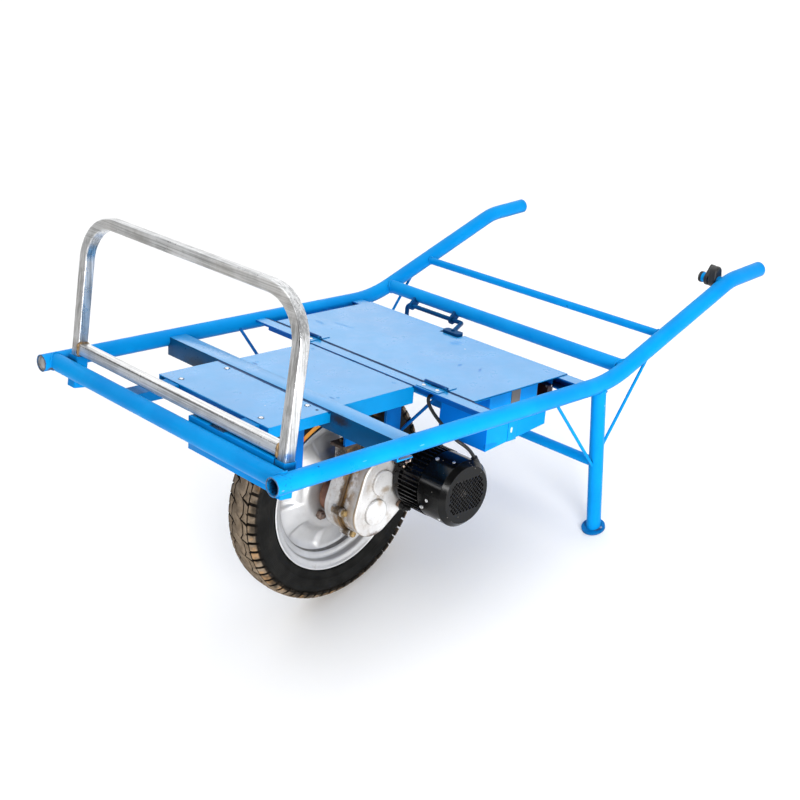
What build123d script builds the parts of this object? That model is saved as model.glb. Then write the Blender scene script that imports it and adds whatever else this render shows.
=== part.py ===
from build123d import *
import math
import os

os.makedirs("parts", exist_ok=True)

# All sizes are millimetres. The barrow is drawn in deck axes: X forward along the rails, Y to the
# left, Z square to the deck, with X = 0 at the open front ends of the rails and Z = 0 on their axes.
# At the end every piece is tipped onto the floor that touches the tyre and the two foot pads.

# Tube frame
RAIL_HALF = 350.0
RAIL_R = 16.85
RAIL_BORE = 14.25
BEND_LOW_X = -875.0
BEND_LOW_R = 300.0
BEND_TOP_X = -1275.0
BEND_TOP_Z = 155.5
BEND_TOP_R = 150.0
HANDLE_X = -1391.0
HANDLE_Z = 164.9
FRONT_BAR_X = -28.0
REAR_LOW_X = -926.0
REAR_LOW_Z = 20.5
REAR_LOW_R = 15.2
REAR_TOP_X = -1050.0
REAR_TOP_Z = 68.0
REAR_TOP_R = 8.5

# Stand
LEG_TOP_X = -842.0
FOOT_X = -888.0
FOOT_Z = -330.0
LEG_R = 15.0
LEG_BORE = 12.5
PAD_R = 25.0
PAD_T = 5.0
LEG_TIE_Z = -176.0
LEG_TIE_R = 10.5
ROD_R = 3.3

# Load stop hoop and its sockets
SOCKET_HALF = 13.4
SOCKET_BORE = 11.4
SOCKET_X = FRONT_BAR_X - RAIL_R - SOCKET_HALF + 0.6
SOCKET_Y = 311.0
SOCKET_LOW = -45.0
SOCKET_TOP = 18.0
HOOP_LEAN = 6.2
HOOP_SIDE = 22.0
HOOP_WALL = 2.0
HOOP_TOP = 289.0
HOOP_BEND = 85.0
HOOP_FOOT = -41.0
HOOP_BAR_LOW = 21.5

# Deck members
DECK_Z = 7.0
SHEET = 2.0
CHANNEL_X = -287.0
CHANNEL_W = 40.0
CHANNEL_H = 40.0
HINGE_BAR_X = -511.0
HINGE_BAR_W = 30.0
REAR_BAR_X = -795.0
REAR_BAR_W = 30.0
SMALL_CHANNEL_H = 25.0
WALL = 3.0
COPE_Y = 322.0
BAR_IN = 100.0
BAR_OUT = 140.0
BAR_LOW = -16.0
BAR_TOP = 4.0
COVER_HALF = 165.0
COVER_FRONT_X = -143.0
REAR_COVER_HALF = 155.0

# Lid, hinges and catch
LID_FRONT_X = -542.5
LID_REAR_X = -826.0
LID_RIGHT = -303.0
LID_LEFT = 281.0
HINGE_X = -541.0
HINGE_Z = 11.0
HINGE_Y = 185.0
HINGE_LEN = 60.0
KNUCKLE_R = 3.5
PIN_R = 2.0
CATCH_X = -905.0
CATCH_Z = 0.0
CATCH_R = 5.0
CATCH_RIGHT = -262.0
CATCH_LEFT = -88.0
PADDLE_X = -817.0
PADDLE_Y = -33.0

# Battery box
BOX_FRONT = -594.0
BOX_REAR = -795.0
BOX_HALF = 279.0
BOX_TOP = 3.0
TRAY_LOW = -40.0
BIN_IN = 152.0
BIN_REAR = -771.0
BIN_FRONT_LOW = -110.0
BIN_REAR_LOW = -90.0
BATTERY_L = 151.0
BATTERY_W = 98.0
BATTERY_H = 86.0

# Wheel and drive
WHEEL_X = -443.0
WHEEL_Z = -250.0
TYRE_R = 235.0
TYRE_HALF = 40.0
RIM_R = 166.0
RIM_HALF = 36.0
BEAD_R = 152.4
STUD_CIRCLE = 56.0
AXLE_R = 12.0
FIT = 0.06
COUNTER_X = -457.0
COUNTER_Z = -190.0
MOTOR_X = -546.0
MOTOR_Z = -187.0
MOTOR_R = 70.0
PINION_R = 10.0
COUNTER_GEAR_R = 44.0
MESH_GAP = 0.5
HOUSING_Y = 58.0
SEAM_Y = 100.0
COVER_Y = 140.0
MOTOR_FLANGE_Y = 150.0
MOTOR_BODY_Y = 162.0
SHELL_Y = 218.0
MOTOR_BACK_Y = 254.0
MOTOR_END_Y = 284.0


def block(x0, x1, y0, y1, z0, z1):
    """Box between two corners."""
    size = Box(abs(x1 - x0), abs(y1 - y0), abs(z1 - z0))
    return Pos((x0 + x1) / 2, (y0 + y1) / 2, (z0 + z1) / 2) * size


def rod(start, end, radius):
    """Round bar between two points."""
    a = Vector(*start)
    b = Vector(*end)
    place = Plane(origin=a, z_dir=(b - a).normalized())
    bar = Cylinder(radius, (b - a).length, align=(Align.CENTER, Align.CENTER, Align.MIN))
    return place * bar


def cross(x, z, y0, y1, radius):
    """Round bar along Y."""
    return rod((x, min(y0, y1), z), (x, max(y0, y1), z), radius)


def upright(x, y, z0, z1, radius):
    """Round bar along Z."""
    return rod((x, y, min(z0, z1)), (x, y, max(z0, z1)), radius)


def side_sheet(points, y0, y1):
    """Prism of an XZ outline between two Y planes."""
    outline = make_face(Polyline(*[(x, 0, z) for x, z in points], close=True))
    solid = extrude(outline, abs(y1 - y0), dir=(0, 1, 0))
    return Pos(0, min(y0, y1), 0) * solid


def round_hull(circles, y0, y1):
    """Prism between two Y planes around the hull of circles given as x, z and radius."""
    sketch = Sketch()
    for x, z, radius in circles:
        sketch += Pos(x, z) * Circle(radius)
    outline = make_hull(sketch.edges()) if len(circles) > 1 else sketch
    turned = Plane(origin=(0, max(y0, y1), 0), x_dir=(1, 0, 0), z_dir=(0, -1, 0)) * outline
    return extrude(turned, abs(y1 - y0), dir=(0, -1, 0))


def wheel_turn(points):
    """Solid of revolution about the axle from radius and Y pairs."""
    outline = make_face(Polyline(*[(r, y) for r, y in points], close=True))
    solid = revolve(outline, Axis.Y)
    return Pos(WHEEL_X, 0, WHEEL_Z) * solid


def hexagon_y(x, z, y0, y1, across):
    """Six sided bar along Y."""
    flat = RegularPolygon(across / 2, 6, major_radius=False)
    turned = Plane(origin=(x, min(y0, y1), z), x_dir=(1, 0, 0), z_dir=(0, 1, 0)) * flat
    return extrude(turned, abs(y1 - y0), dir=(0, 1, 0))


def hexagon_z(x, y, z0, z1, across):
    """Six sided bar along Z."""
    flat = Pos(x, y, min(z0, z1)) * RegularPolygon(across / 2, 6, major_radius=False)
    return extrude(flat, abs(z1 - z0))


def rail(side, radius):
    """Swept rail of the given radius on one side."""
    y = side * RAIL_HALF
    path = FilletPolyline(
        (0, y, 0),
        (BEND_LOW_X, y, 0),
        (BEND_TOP_X, y, BEND_TOP_Z),
        (HANDLE_X, y, HANDLE_Z),
        radius=[BEND_LOW_R, BEND_TOP_R],
    )
    section = Plane(origin=(0, y, 0), z_dir=(-1, 0, 0)) * Circle(radius)
    return sweep(section, path=path)


def lean(shape):
    """Tips a socket or hoop piece back about the socket centres."""
    return Pos(SOCKET_X, 0, 0) * Rot(0, -HOOP_LEAN, 0) * Pos(-SOCKET_X, 0, 0) * shape


def between_rails(bar, low):
    """Cuts the ends of a cross bar to the rails, with its lower half stopped short of them."""
    for side in (1, -1):
        bar -= block(-1000, 0, side * COPE_Y, side * 400, low - 1, -12)
    return bar - rail_fill


def channel(x_front, width, height, top, thick):
    """Cross channel open to the front."""
    outer = block(x_front - width, x_front, -RAIL_HALF, RAIL_HALF, top - height, top)
    hollow = block(x_front - width + thick, x_front + 1, -400, 400, top - height + thick, top - thick)
    return between_rails(outer - hollow, top - height)


def angle(x_front, width, height, top, thick):
    """Cross angle with its upright leg at the rear."""
    outer = block(x_front - width, x_front, -RAIL_HALF, RAIL_HALF, top - height, top)
    hollow = block(x_front - width + thick, x_front + 1, -400, 400, top - height - 1, top - thick)
    return between_rails(outer - hollow, top - height)


def square_bar(x, y, z0, z1, half, corner):
    """Upright square bar with rounded corners."""
    return extrude(Pos(x, y, z0) * RectangleRounded(2 * half, 2 * half, corner), z1 - z0)


pieces = {}

# Rails and round cross tubes
rail_fill = rail(1, RAIL_R) + rail(-1, RAIL_R)
pieces["left_rail"] = rail(1, RAIL_R) - rail(1, RAIL_BORE)
pieces["right_rail"] = rail(-1, RAIL_R) - rail(-1, RAIL_BORE)


def cross_tube(x, z, radius, wall, ends):
    """Round tube across the frame, cut to fit the bars it meets."""
    tube = cross(x, z, -RAIL_HALF, RAIL_HALF, radius) - cross(x, z, -400, 400, radius - wall)
    return tube - ends


pieces["front_crossbar"] = cross_tube(FRONT_BAR_X, 0, RAIL_R, 2.6, rail_fill)
pieces["rear_lower_crossbar"] = cross_tube(REAR_LOW_X, REAR_LOW_Z, REAR_LOW_R, 2.5, rail_fill)
pieces["rear_upper_crossbar"] = cross_tube(REAR_TOP_X, REAR_TOP_Z, REAR_TOP_R, 2.0, rail_fill)
front_fill = cross(FRONT_BAR_X, 0, -RAIL_HALF, RAIL_HALF, RAIL_R)

# Sockets in the front corners
sockets = Part()
for side in (1, -1):
    outer = square_bar(SOCKET_X, side * SOCKET_Y, SOCKET_LOW, SOCKET_TOP, SOCKET_HALF, 3.5)
    bore = square_bar(SOCKET_X, side * SOCKET_Y, SOCKET_LOW - 5, SOCKET_TOP + 5, SOCKET_BORE, 2.8)
    sockets += lean(outer - bore) - front_fill
pieces["hoop_sockets"] = sockets


# Hoop of square tube with a lower bar, standing in the sockets
def hoop_bar(half, corner):
    """Square bar bent to the hoop's shape."""
    path = FilletPolyline(
        (SOCKET_X, SOCKET_Y, HOOP_FOOT),
        (SOCKET_X, SOCKET_Y, HOOP_TOP),
        (SOCKET_X, -SOCKET_Y, HOOP_TOP),
        (SOCKET_X, -SOCKET_Y, HOOP_FOOT),
        radius=HOOP_BEND,
    )
    flat = RectangleRounded(2 * half, 2 * half, corner)
    section = Pos(SOCKET_X, SOCKET_Y, HOOP_FOOT) * flat
    return sweep(section, path=path)


hoop_half = HOOP_SIDE / 2
pieces["hoop"] = lean(hoop_bar(hoop_half, 3.0) - hoop_bar(hoop_half - HOOP_WALL, 1.2))
bar_reach = SOCKET_Y - hoop_half
bar_middle = HOOP_BAR_LOW + hoop_half
bar_frame = Plane(origin=(SOCKET_X, -bar_reach, bar_middle), x_dir=(1, 0, 0), z_dir=(0, 1, 0))
bar_outer = bar_frame * RectangleRounded(HOOP_SIDE, HOOP_SIDE, 3.0)
bar_inner = bar_frame * RectangleRounded(HOOP_SIDE - 2 * HOOP_WALL, HOOP_SIDE - 2 * HOOP_WALL, 1.2)
pieces["hoop_lower_bar"] = lean(extrude(bar_outer - bar_inner, 2 * bar_reach, dir=(0, 1, 0)))

# Deck channels and the bars beside the wheel
pieces["front_channel"] = channel(CHANNEL_X, CHANNEL_W, CHANNEL_H, DECK_Z, WALL)
pieces["hinge_bar"] = angle(HINGE_BAR_X, HINGE_BAR_W, SMALL_CHANNEL_H, DECK_Z, WALL)
pieces["rear_channel"] = channel(REAR_BAR_X, REAR_BAR_W, SMALL_CHANNEL_H, DECK_Z - SHEET, WALL)

plate_x = FRONT_BAR_X - RAIL_R
front_plate = block(plate_x - 3, plate_x, 65, 286, -43, 19)
pieces["front_plate"] = front_plate


def box_tube(x0, x1, y0, y1, z0, z1, wall):
    """Rectangular tube along X."""
    inner = block(x0 - 5, x1 + 5, y0 + wall, y1 - wall, z0 + wall, z1 - wall)
    return block(x0, x1, y0, y1, z0, z1) - inner


web_x = CHANNEL_X - CHANNEL_W + WALL
hinge_leg_x = HINGE_BAR_X - HINGE_BAR_W + WALL
front_bars = Part()
rear_bars = Part()
for side in (1, -1):
    y0, y1 = sorted((side * BAR_IN, side * BAR_OUT))
    ahead = box_tube(web_x, FRONT_BAR_X, y0, y1, BAR_LOW, BAR_TOP, 2.0) - front_fill - front_plate
    if side > 0:
        ahead -= block(plate_x - 3, 0, 0, 300, -60, 60)
    front_bars += ahead
    rear_bars += box_tube(hinge_leg_x, CHANNEL_X - CHANNEL_W, y0, y1, BAR_LOW, BAR_TOP, 2.0)

# Folded covers over the wheel
def folded_cover(x0, x1, half, low):
    """Sheet over the wheel with both side edges folded down."""
    outer = block(x0, x1, -half, half, low, BAR_TOP + SHEET)
    inner = block(x0 - 5, x1 + 5, SHEET - half, half - SHEET, low - 5, BAR_TOP)
    return outer - inner


front_cover = folded_cover(CHANNEL_X, COVER_FRONT_X, COVER_HALF, -16)
rear_cover = folded_cover(HINGE_BAR_X, CHANNEL_X - CHANNEL_W, REAR_COVER_HALF, -30)

screws = Part()
screw_places = [(x, y) for x in (-162.0, -270.0) for y in (-120.0, 120.0)]
screw_places += [(x, y) for x in (-345.0, -490.0) for y in (-120.0, 120.0)]
for x, y in screw_places:
    head = upright(x, y, BAR_TOP + SHEET, BAR_TOP + SHEET + 2.2, 5.0)
    head -= block(x - 3.5, x + 3.5, y - 0.6, y + 0.6, BAR_TOP + SHEET + 1.2, BAR_TOP + SHEET + 3)
    screws += head + upright(x, y, -8, BAR_TOP + SHEET, 2.5)
pieces["front_cover"] = front_cover - screws
pieces["rear_cover"] = rear_cover - screws
pieces["front_wheel_bars"] = front_bars - screws
pieces["rear_wheel_bars"] = rear_bars - screws

# Stand: the floor touches the tyre and both foot pads
foot_dx = WHEEL_X - FOOT_X
foot_dz = WHEEL_Z - FOOT_Z
reach = math.hypot(foot_dx, foot_dz)
PITCH = math.asin(TYRE_R / reach) - math.atan2(foot_dz, foot_dx)
floor_up = (math.sin(PITCH), 0.0, math.cos(PITCH))
leg_fill = Part()
foot_pads = Part()
for side, name in ((1, "left"), (-1, "right")):
    y = side * RAIL_HALF
    foot = (FOOT_X, y, FOOT_Z)
    top = (LEG_TOP_X, y, 0)
    on_ground = Plane(origin=foot, z_dir=floor_up)
    pad = on_ground * Pos(0, 0, PAD_T / 2) * Cylinder(PAD_R, PAD_T)
    below = on_ground * Pos(0, 0, PAD_T - 50) * Cylinder(120, 100)
    solid_leg = rod(top, foot, LEG_R)
    leg_fill += solid_leg
    pieces[name + "_leg"] = solid_leg - rod(top, foot, LEG_BORE) - rail_fill - below
    foot_pads += pad
pieces["foot_pads"] = foot_pads
tie_x = LEG_TOP_X + (FOOT_X - LEG_TOP_X) * LEG_TIE_Z / FOOT_Z
pieces["leg_tie"] = cross_tube(tie_x, LEG_TIE_Z, LEG_TIE_R, 2.0, leg_fill)
tie_fill = cross(tie_x, LEG_TIE_Z, -RAIL_HALF, RAIL_HALF, LEG_TIE_R)
leg_braces = Part()
for side in (1, -1):
    y = side * RAIL_HALF
    leg_braces += rod((-704, y, -6), (-859, y, -184), ROD_R)
    leg_braces += rod((-1008, y, 42), (-868, y, -156), ROD_R)
pieces["leg_braces"] = leg_braces - rail_fill - leg_fill - tie_fill

# Wheel
tyre_skin = [
    (TYRE_R, 0), (TYRE_R - 1.2, 17), (TYRE_R - 5, 29), (TYRE_R - 14, 36), (TYRE_R - 28, TYRE_HALF),
    (TYRE_R - 45, TYRE_HALF - 1), (RIM_R + 4, RIM_HALF - 2), (RIM_R - 1, RIM_HALF - 6), (BEAD_R, RIM_HALF - 7),
    (BEAD_R, 18), (RIM_R, 24), (TYRE_R - 45, 31), (TYRE_R - 28, 31.5), (TYRE_R - 16, 26), (TYRE_R - 11, 15),
    (TYRE_R - 10, 0),
]
half_tyre = wheel_turn(tyre_skin)
tyre = half_tyre + mirror(half_tyre, about=Plane.XZ)
rim_skin = [
    (RIM_R, RIM_HALF), (RIM_R, RIM_HALF - 3), (RIM_R - 2, RIM_HALF - 6.5), (BEAD_R, RIM_HALF - 7), (BEAD_R, 17),
    (138, 11), (138, -11), (BEAD_R, -17), (BEAD_R, -RIM_HALF + 7), (RIM_R - 2, -RIM_HALF + 6.5),
    (RIM_R, -RIM_HALF + 3), (RIM_R, -RIM_HALF), (RIM_R - 4, -RIM_HALF + 1), (RIM_R - 8, -RIM_HALF + 4.5),
    (BEAD_R - 4, -RIM_HALF + 6), (BEAD_R - 4, -18), (134, -14), (134, -2), (118, -2), (104, 6), (90, 14), (72, 18),
    (34, 18), (34, 22), (72, 22), (92, 18), (106, 10), (119, 2), (134, 2), (134, 14), (BEAD_R - 4, 18),
    (BEAD_R - 4, RIM_HALF - 6), (RIM_R - 8, RIM_HALF - 4.5), (RIM_R - 4, RIM_HALF - 1),
]
pieces["rim"] = wheel_turn(rim_skin)
hub = wheel_turn([
    (AXLE_R, -45), (30, -45), (30, 10), (70, 10), (70, 18), (34, 18), (34, 22), (42, 22), (42, 41), (37, 41),
    (37, 54), (AXLE_R, 54),
])
nuts = Part()
for step in range(4):
    turn = math.radians(45 + 90 * step)
    x = WHEEL_X + STUD_CIRCLE * math.cos(turn)
    z = WHEEL_Z + STUD_CIRCLE * math.sin(turn)
    nuts += hexagon_y(x, z, 22, 31, 17) + cross(x, z, 12, 37, 5)
pieces["wheel_nuts"] = nuts
pieces["hub"] = hub - nuts
pieces["tyre"] = tyre - pieces["rim"]
pieces["rim"] = pieces["rim"] - nuts
axle = cross(WHEEL_X, WHEEL_Z, -112, 130, AXLE_R) + cross(WHEEL_X, WHEEL_Z, 70, 88, 48 - MESH_GAP)
pieces["axle"] = axle

# Gearbox with its plain gear discs
span = math.hypot(COUNTER_X - MOTOR_X, COUNTER_Z - MOTOR_Z)
idler_r = (span - PINION_R - COUNTER_GEAR_R - 2 * MESH_GAP) / 2
idler_at = (PINION_R + MESH_GAP + idler_r) / span
IDLER_X = MOTOR_X + (COUNTER_X - MOTOR_X) * idler_at
IDLER_Z = MOTOR_Z + (COUNTER_Z - MOTOR_Z) * idler_at
out_span = math.hypot(COUNTER_X - WHEEL_X, COUNTER_Z - WHEEL_Z)
counter_pinion_r = out_span - 48
pieces["countershaft"] = (
    cross(COUNTER_X, COUNTER_Z, 60.5, 134, 8)
    + cross(COUNTER_X, COUNTER_Z, 70, 88, counter_pinion_r)
    + cross(COUNTER_X, COUNTER_Z, 104, 114, COUNTER_GEAR_R)
)
pieces["idler_gear"] = cross(IDLER_X, IDLER_Z, 91, 134, 5) + cross(IDLER_X, IDLER_Z, 104, 114, idler_r)

lug_places = [(-384, -247), (-411, -299), (-479, -297), (-412, -159), (-462, -134)]

def gear_case(wheel_r, counter_r, motor_r, y0, y1):
    """Rounded casting outline around the three shaft centres."""
    circles = [(WHEEL_X, WHEEL_Z, wheel_r), (COUNTER_X, COUNTER_Z, counter_r), (MOTOR_X, MOTOR_Z, motor_r)]
    return round_hull(circles, y0, y1)


housing = gear_case(60, 54, 48, HOUSING_Y, SEAM_Y)
cover = gear_case(54, 51, 46, SEAM_Y, COVER_Y)
cover = fillet(cover.faces().sort_by(Axis.Y)[-1].edges(), 5)
for x, z in lug_places:
    housing += cross(x, z, 84, SEAM_Y, 9)
    cover += cross(x, z, SEAM_Y, 112, 9)
cover += cross(WHEEL_X, WHEEL_Z, COVER_Y - 1, 146, 27) + cross(COUNTER_X, COUNTER_Z, COVER_Y - 1, 146, 26)
cover += cross(MOTOR_X, MOTOR_Z, 120, MOTOR_FLANGE_Y, 54)
housing += block(-432, -398, 64, 98, -175, -118) + block(-535, -500, 64, 98, -150, -118)
housing -= round_hull([(WHEEL_X, WHEEL_Z, 52), (COUNTER_X, COUNTER_Z, 18)], 66, SEAM_Y + 1)
cover -= gear_case(20, 47, 16, SEAM_Y - 1, 118)
housing -= cross(WHEEL_X, WHEEL_Z, 40, 70, AXLE_R + FIT) + cross(COUNTER_X, COUNTER_Z, 60, 70, 8 + FIT)
housing -= cross(IDLER_X, IDLER_Z, 90.5, 101, 5 + FIT)
cover -= cross(WHEEL_X, WHEEL_Z, 110, 131, AXLE_R + FIT) + cross(COUNTER_X, COUNTER_Z, 110, 135, 8 + FIT)
cover -= cross(IDLER_X, IDLER_Z, 110, 135, 5 + FIT) + cross(MOTOR_X, MOTOR_Z, 110, 160, 8 + FIT)
bolts = Part()
for x, z in lug_places:
    bolts += cross(x, z, 86, 112, 4) + hexagon_y(x, z, 112, 117.5, 13)
plug = upright(WHEEL_X, 80, -318, -300, 6) + hexagon_z(WHEEL_X, 80, -318, -310.5, 16)
mount_bolts = Part()
for x in (-424, -406, -526, -509):
    mount_bolts += upright(x, 76, -140, -112, 4) + hexagon_z(x, 76, -112, -106.5, 13)
pieces["gearbox_bolts"] = bolts + mount_bolts
pieces["drain_plug"] = plug
pieces["gearbox_housing"] = housing - bolts - plug - mount_bolts
pieces["gearbox_cover"] = cover - bolts

# Hangers between the deck bars and the drive
pieces["mount_plate"] = block(-545, -385, 62, BAR_IN, -118, -112) - mount_bolts
left_hangers = block(-425, -390, BAR_IN - 6, BAR_IN, -112, 2)
left_hangers += block(-537, -497, BAR_IN - 6, BAR_IN, -112, 2)
left_hangers += block(-243, -190, BAR_OUT, BAR_OUT + 5, -108, 2)
pieces["left_hangers"] = left_hangers
bearing = cross(WHEEL_X, WHEEL_Z, -110, -86, 24) - cross(WHEEL_X, WHEEL_Z, -120, -80, AXLE_R + FIT)
right_hanger = block(-473, -413, -BAR_IN, -BAR_IN + 6, WHEEL_Z, 2)
right_hanger += cross(WHEEL_X, WHEEL_Z, -BAR_IN, -BAR_IN + 6, 36)
pieces["right_hanger"] = right_hanger - cross(WHEEL_X, WHEEL_Z, -120, -80, 24)
pieces["axle_bearing"] = bearing
stay_x = HINGE_BAR_X - HINGE_BAR_W - 6
near_stay = rod((stay_x + 6, BAR_IN - 4, -116), (stay_x, 182, -18), ROD_R)
near_stay -= block(-560, -400, 60, BAR_IN, -130, 10)
near_stay += block(stay_x - 3, HINGE_BAR_X - HINGE_BAR_W, 172, 196, -17, -14)
near_stay += block(stay_x - 3, stay_x, 172, 196, -36, -14)
far_stay = rod((-471, -338, -6), (-462, -98, -158), ROD_R)
far_stay -= rail_fill + block(-480, -400, -BAR_IN, -80, -300, 10)
pieces["hanger_stays"] = near_stay + far_stay

# Motor
flange = cross(MOTOR_X, MOTOR_Z, MOTOR_FLANGE_Y, MOTOR_BODY_Y, MOTOR_R - 2)
flange -= cross(MOTOR_X, MOTOR_Z, MOTOR_FLANGE_Y - 1, MOTOR_BODY_Y + 1, 8 + FIT)
shell_seat = cross(MOTOR_X, MOTOR_Z, SHELL_Y - 2, SHELL_Y + 16, 67) - cross(MOTOR_X, MOTOR_Z, 200, 300, 60)
body = cross(MOTOR_X, MOTOR_Z, MOTOR_BODY_Y, MOTOR_BACK_Y - 6, 63)
fin = block(60, MOTOR_R, MOTOR_BODY_Y + 2, SHELL_Y - 2, -1.3, 1.3)
fins = Part()
for step in range(44):
    fins += Pos(MOTOR_X, 0, MOTOR_Z) * Rot(0, step * 360 / 44, 0) * fin
body += fins
body -= cross(MOTOR_X, MOTOR_Z, MOTOR_BODY_Y - 1, MOTOR_BACK_Y - 14, 53)
body -= cross(MOTOR_X, MOTOR_Z, MOTOR_BODY_Y, MOTOR_BACK_Y + 1, 8 + FIT)
pieces["motor_body"] = body + shell_seat
stator = cross(MOTOR_X, MOTOR_Z, 172, 236, 53) - cross(MOTOR_X, MOTOR_Z, 165, 245, 46.5)
pieces["motor_flange"] = flange
pieces["motor_stator"] = stator
rotor = cross(MOTOR_X, MOTOR_Z, 102, MOTOR_END_Y - 8, 8) + cross(MOTOR_X, MOTOR_Z, 172, 236, 46)
pieces["rotor"] = rotor + cross(MOTOR_X, MOTOR_Z, 104, 114, PINION_R)
fan_y = MOTOR_BACK_Y + 6
fan = cross(MOTOR_X, MOTOR_Z, fan_y, fan_y + 4, 46) - cross(MOTOR_X, MOTOR_Z, fan_y - 5, fan_y + 20, 8)
blade = block(12, 54, fan_y + 4, fan_y + 15, -1, 1)
for step in range(9):
    fan += Pos(MOTOR_X, 0, MOTOR_Z) * Rot(0, step * 40, 0) * blade
pieces["fan"] = fan
shroud_skin = [(0, SHELL_Y), (69, SHELL_Y), (69, MOTOR_END_Y - 10), (59, MOTOR_END_Y), (0, MOTOR_END_Y)]
inner_y = MOTOR_END_Y - 2
inner_skin = [(0, SHELL_Y - 4), (67, SHELL_Y - 4), (67, inner_y - 9), (58, inner_y), (0, inner_y)]


def motor_turn(points):
    """Solid of revolution about the motor axis from radius and Y pairs."""
    outline = make_face(Polyline(*[(r, y) for r, y in points], close=True))
    return Pos(MOTOR_X, 0, MOTOR_Z) * revolve(outline, Axis.Y)


shroud = motor_turn(shroud_skin) - motor_turn(inner_skin)
cell = 9.0
gaps = Part()
for row in range(-7, 8):
    for column in range(-7, 8):
        u = (column + (row % 2) * 0.5) * cell
        v = row * cell * 0.5
        if math.hypot(u, v) < 48:
            square = Pos(u, 0, v) * Rot(0, 45, 0) * Box(cell * 0.54, 8, cell * 0.54)
            gaps += Pos(MOTOR_X, MOTOR_END_Y, MOTOR_Z) * square
pieces["fan_cover"] = shroud - gaps
motor_screws = Part()
for step in range(4):
    turn = math.radians(65 + 90 * step)
    foot_at = (MOTOR_X + 67 * math.cos(turn), SHELL_Y + 9, MOTOR_Z + 67 * math.sin(turn))
    head_at = (MOTOR_X + 71.5 * math.cos(turn), SHELL_Y + 9, MOTOR_Z + 71.5 * math.sin(turn))
    motor_screws += rod(foot_at, head_at, 4)
pieces["motor_screws"] = motor_screws - motor_turn(shroud_skin)

# Motor cable from the battery box to the motor
CABLE_R = 3.5
GLAND_R = 6.5
CABLE_Y = 178.0
CABLE_Z = -8.0
cable_points = [
    (-586, CABLE_Y, CABLE_Z),
    (-531, CABLE_Y, CABLE_Z),
    (-524, 182, -22),
    (-528, 195, -41),
    (-530, 215, -55.6),
    (-532.4, 235, -68.3),
    (-537, 254, -81),
    (-550, 265, -91),
    (-570, 267, -110),
    (-576.5, 268, -121),
]
box_gland = rod((BOX_FRONT, CABLE_Y, CABLE_Z), cable_points[0], GLAND_R)
shell_gland = rod(cable_points[-1], (-589.5, 270, -143), GLAND_R) - motor_turn(shroud_skin)
glands = box_gland + shell_gland
bar_hole = rod((-545, CABLE_Y, CABLE_Z), (-535, CABLE_Y, CABLE_Z), CABLE_R + 1)

# Battery box: a shallow tray over the wheel with a deep bin on each side
bin_side = [(BOX_FRONT, BIN_FRONT_LOW), (BIN_REAR, BIN_REAR_LOW), (BIN_REAR, BOX_TOP), (BOX_FRONT, BOX_TOP)]
slope = math.atan2(BIN_REAR_LOW - BIN_FRONT_LOW, BOX_FRONT - BIN_REAR)
inner_side = [
    (BOX_FRONT - SHEET, BIN_FRONT_LOW + SHEET / math.cos(slope) + SHEET * math.tan(slope)),
    (BIN_REAR + SHEET, BIN_REAR_LOW + SHEET / math.cos(slope) - SHEET * math.tan(slope)),
    (BIN_REAR + SHEET, BOX_TOP + 10),
    (BOX_FRONT - SHEET, BOX_TOP + 10),
]
tray_floor = TRAY_LOW + SHEET
battery_box = block(BOX_REAR, BOX_FRONT, -BOX_HALF, BOX_HALF, TRAY_LOW, BOX_TOP)
box_hollow = block(BOX_REAR + SHEET, BOX_FRONT - SHEET, SHEET - BOX_HALF, BOX_HALF - SHEET, tray_floor, 20)
box_flanges = Part()
for side in (1, -1):
    battery_box += side_sheet(bin_side, side * BIN_IN, side * BOX_HALF)
    box_hollow += side_sheet(inner_side, side * (BIN_IN + SHEET), side * (BOX_HALF - SHEET))
    flange_y = sorted((side * BIN_IN, side * BOX_HALF))
    box_flanges += block(BOX_FRONT, HINGE_BAR_X - HINGE_BAR_W, *flange_y, BOX_TOP - SHEET, BOX_TOP)
side_notch = block(BOX_REAR - 5, -735, BOX_HALF - 10, BOX_HALF + 10, tray_floor, 20)
pieces["battery_box"] = battery_box - box_hollow - side_notch + box_flanges


def on_floor(along, y, height):
    """Frame lying on a bin floor, measured back from the front wall."""
    x = BOX_FRONT - SHEET - along * math.cos(slope) + height * math.sin(slope)
    z = inner_side[0][1] + along * math.sin(slope) + height * math.cos(slope)
    return Pos(x, y, z) * Rot(0, math.degrees(slope), 0)


batteries = Part()
caps = Part()
for side in (-1, 1):
    y = side * (BIN_IN + BOX_HALF) / 2
    batteries += on_floor(92, y, BATTERY_H / 2) * Box(BATTERY_L, BATTERY_W, BATTERY_H)
    for end in (-1, 1):
        caps += on_floor(92 - end * 58, y, BATTERY_H) * Pos(0, 0, 4) * Box(16, 26, 8)
caps += block(BOX_REAR + 4, BIN_REAR - 4, 228, 274, tray_floor, -12)
pieces["batteries"] = batteries
pieces["terminal_caps"] = caps
case = block(-750, -640, -140, -10, tray_floor, -4)
for step in range(6):
    case -= block(-750 + 20 * step, -740 + 20 * step, -145, -5, -12, 0)
pieces["controller"] = case

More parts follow.
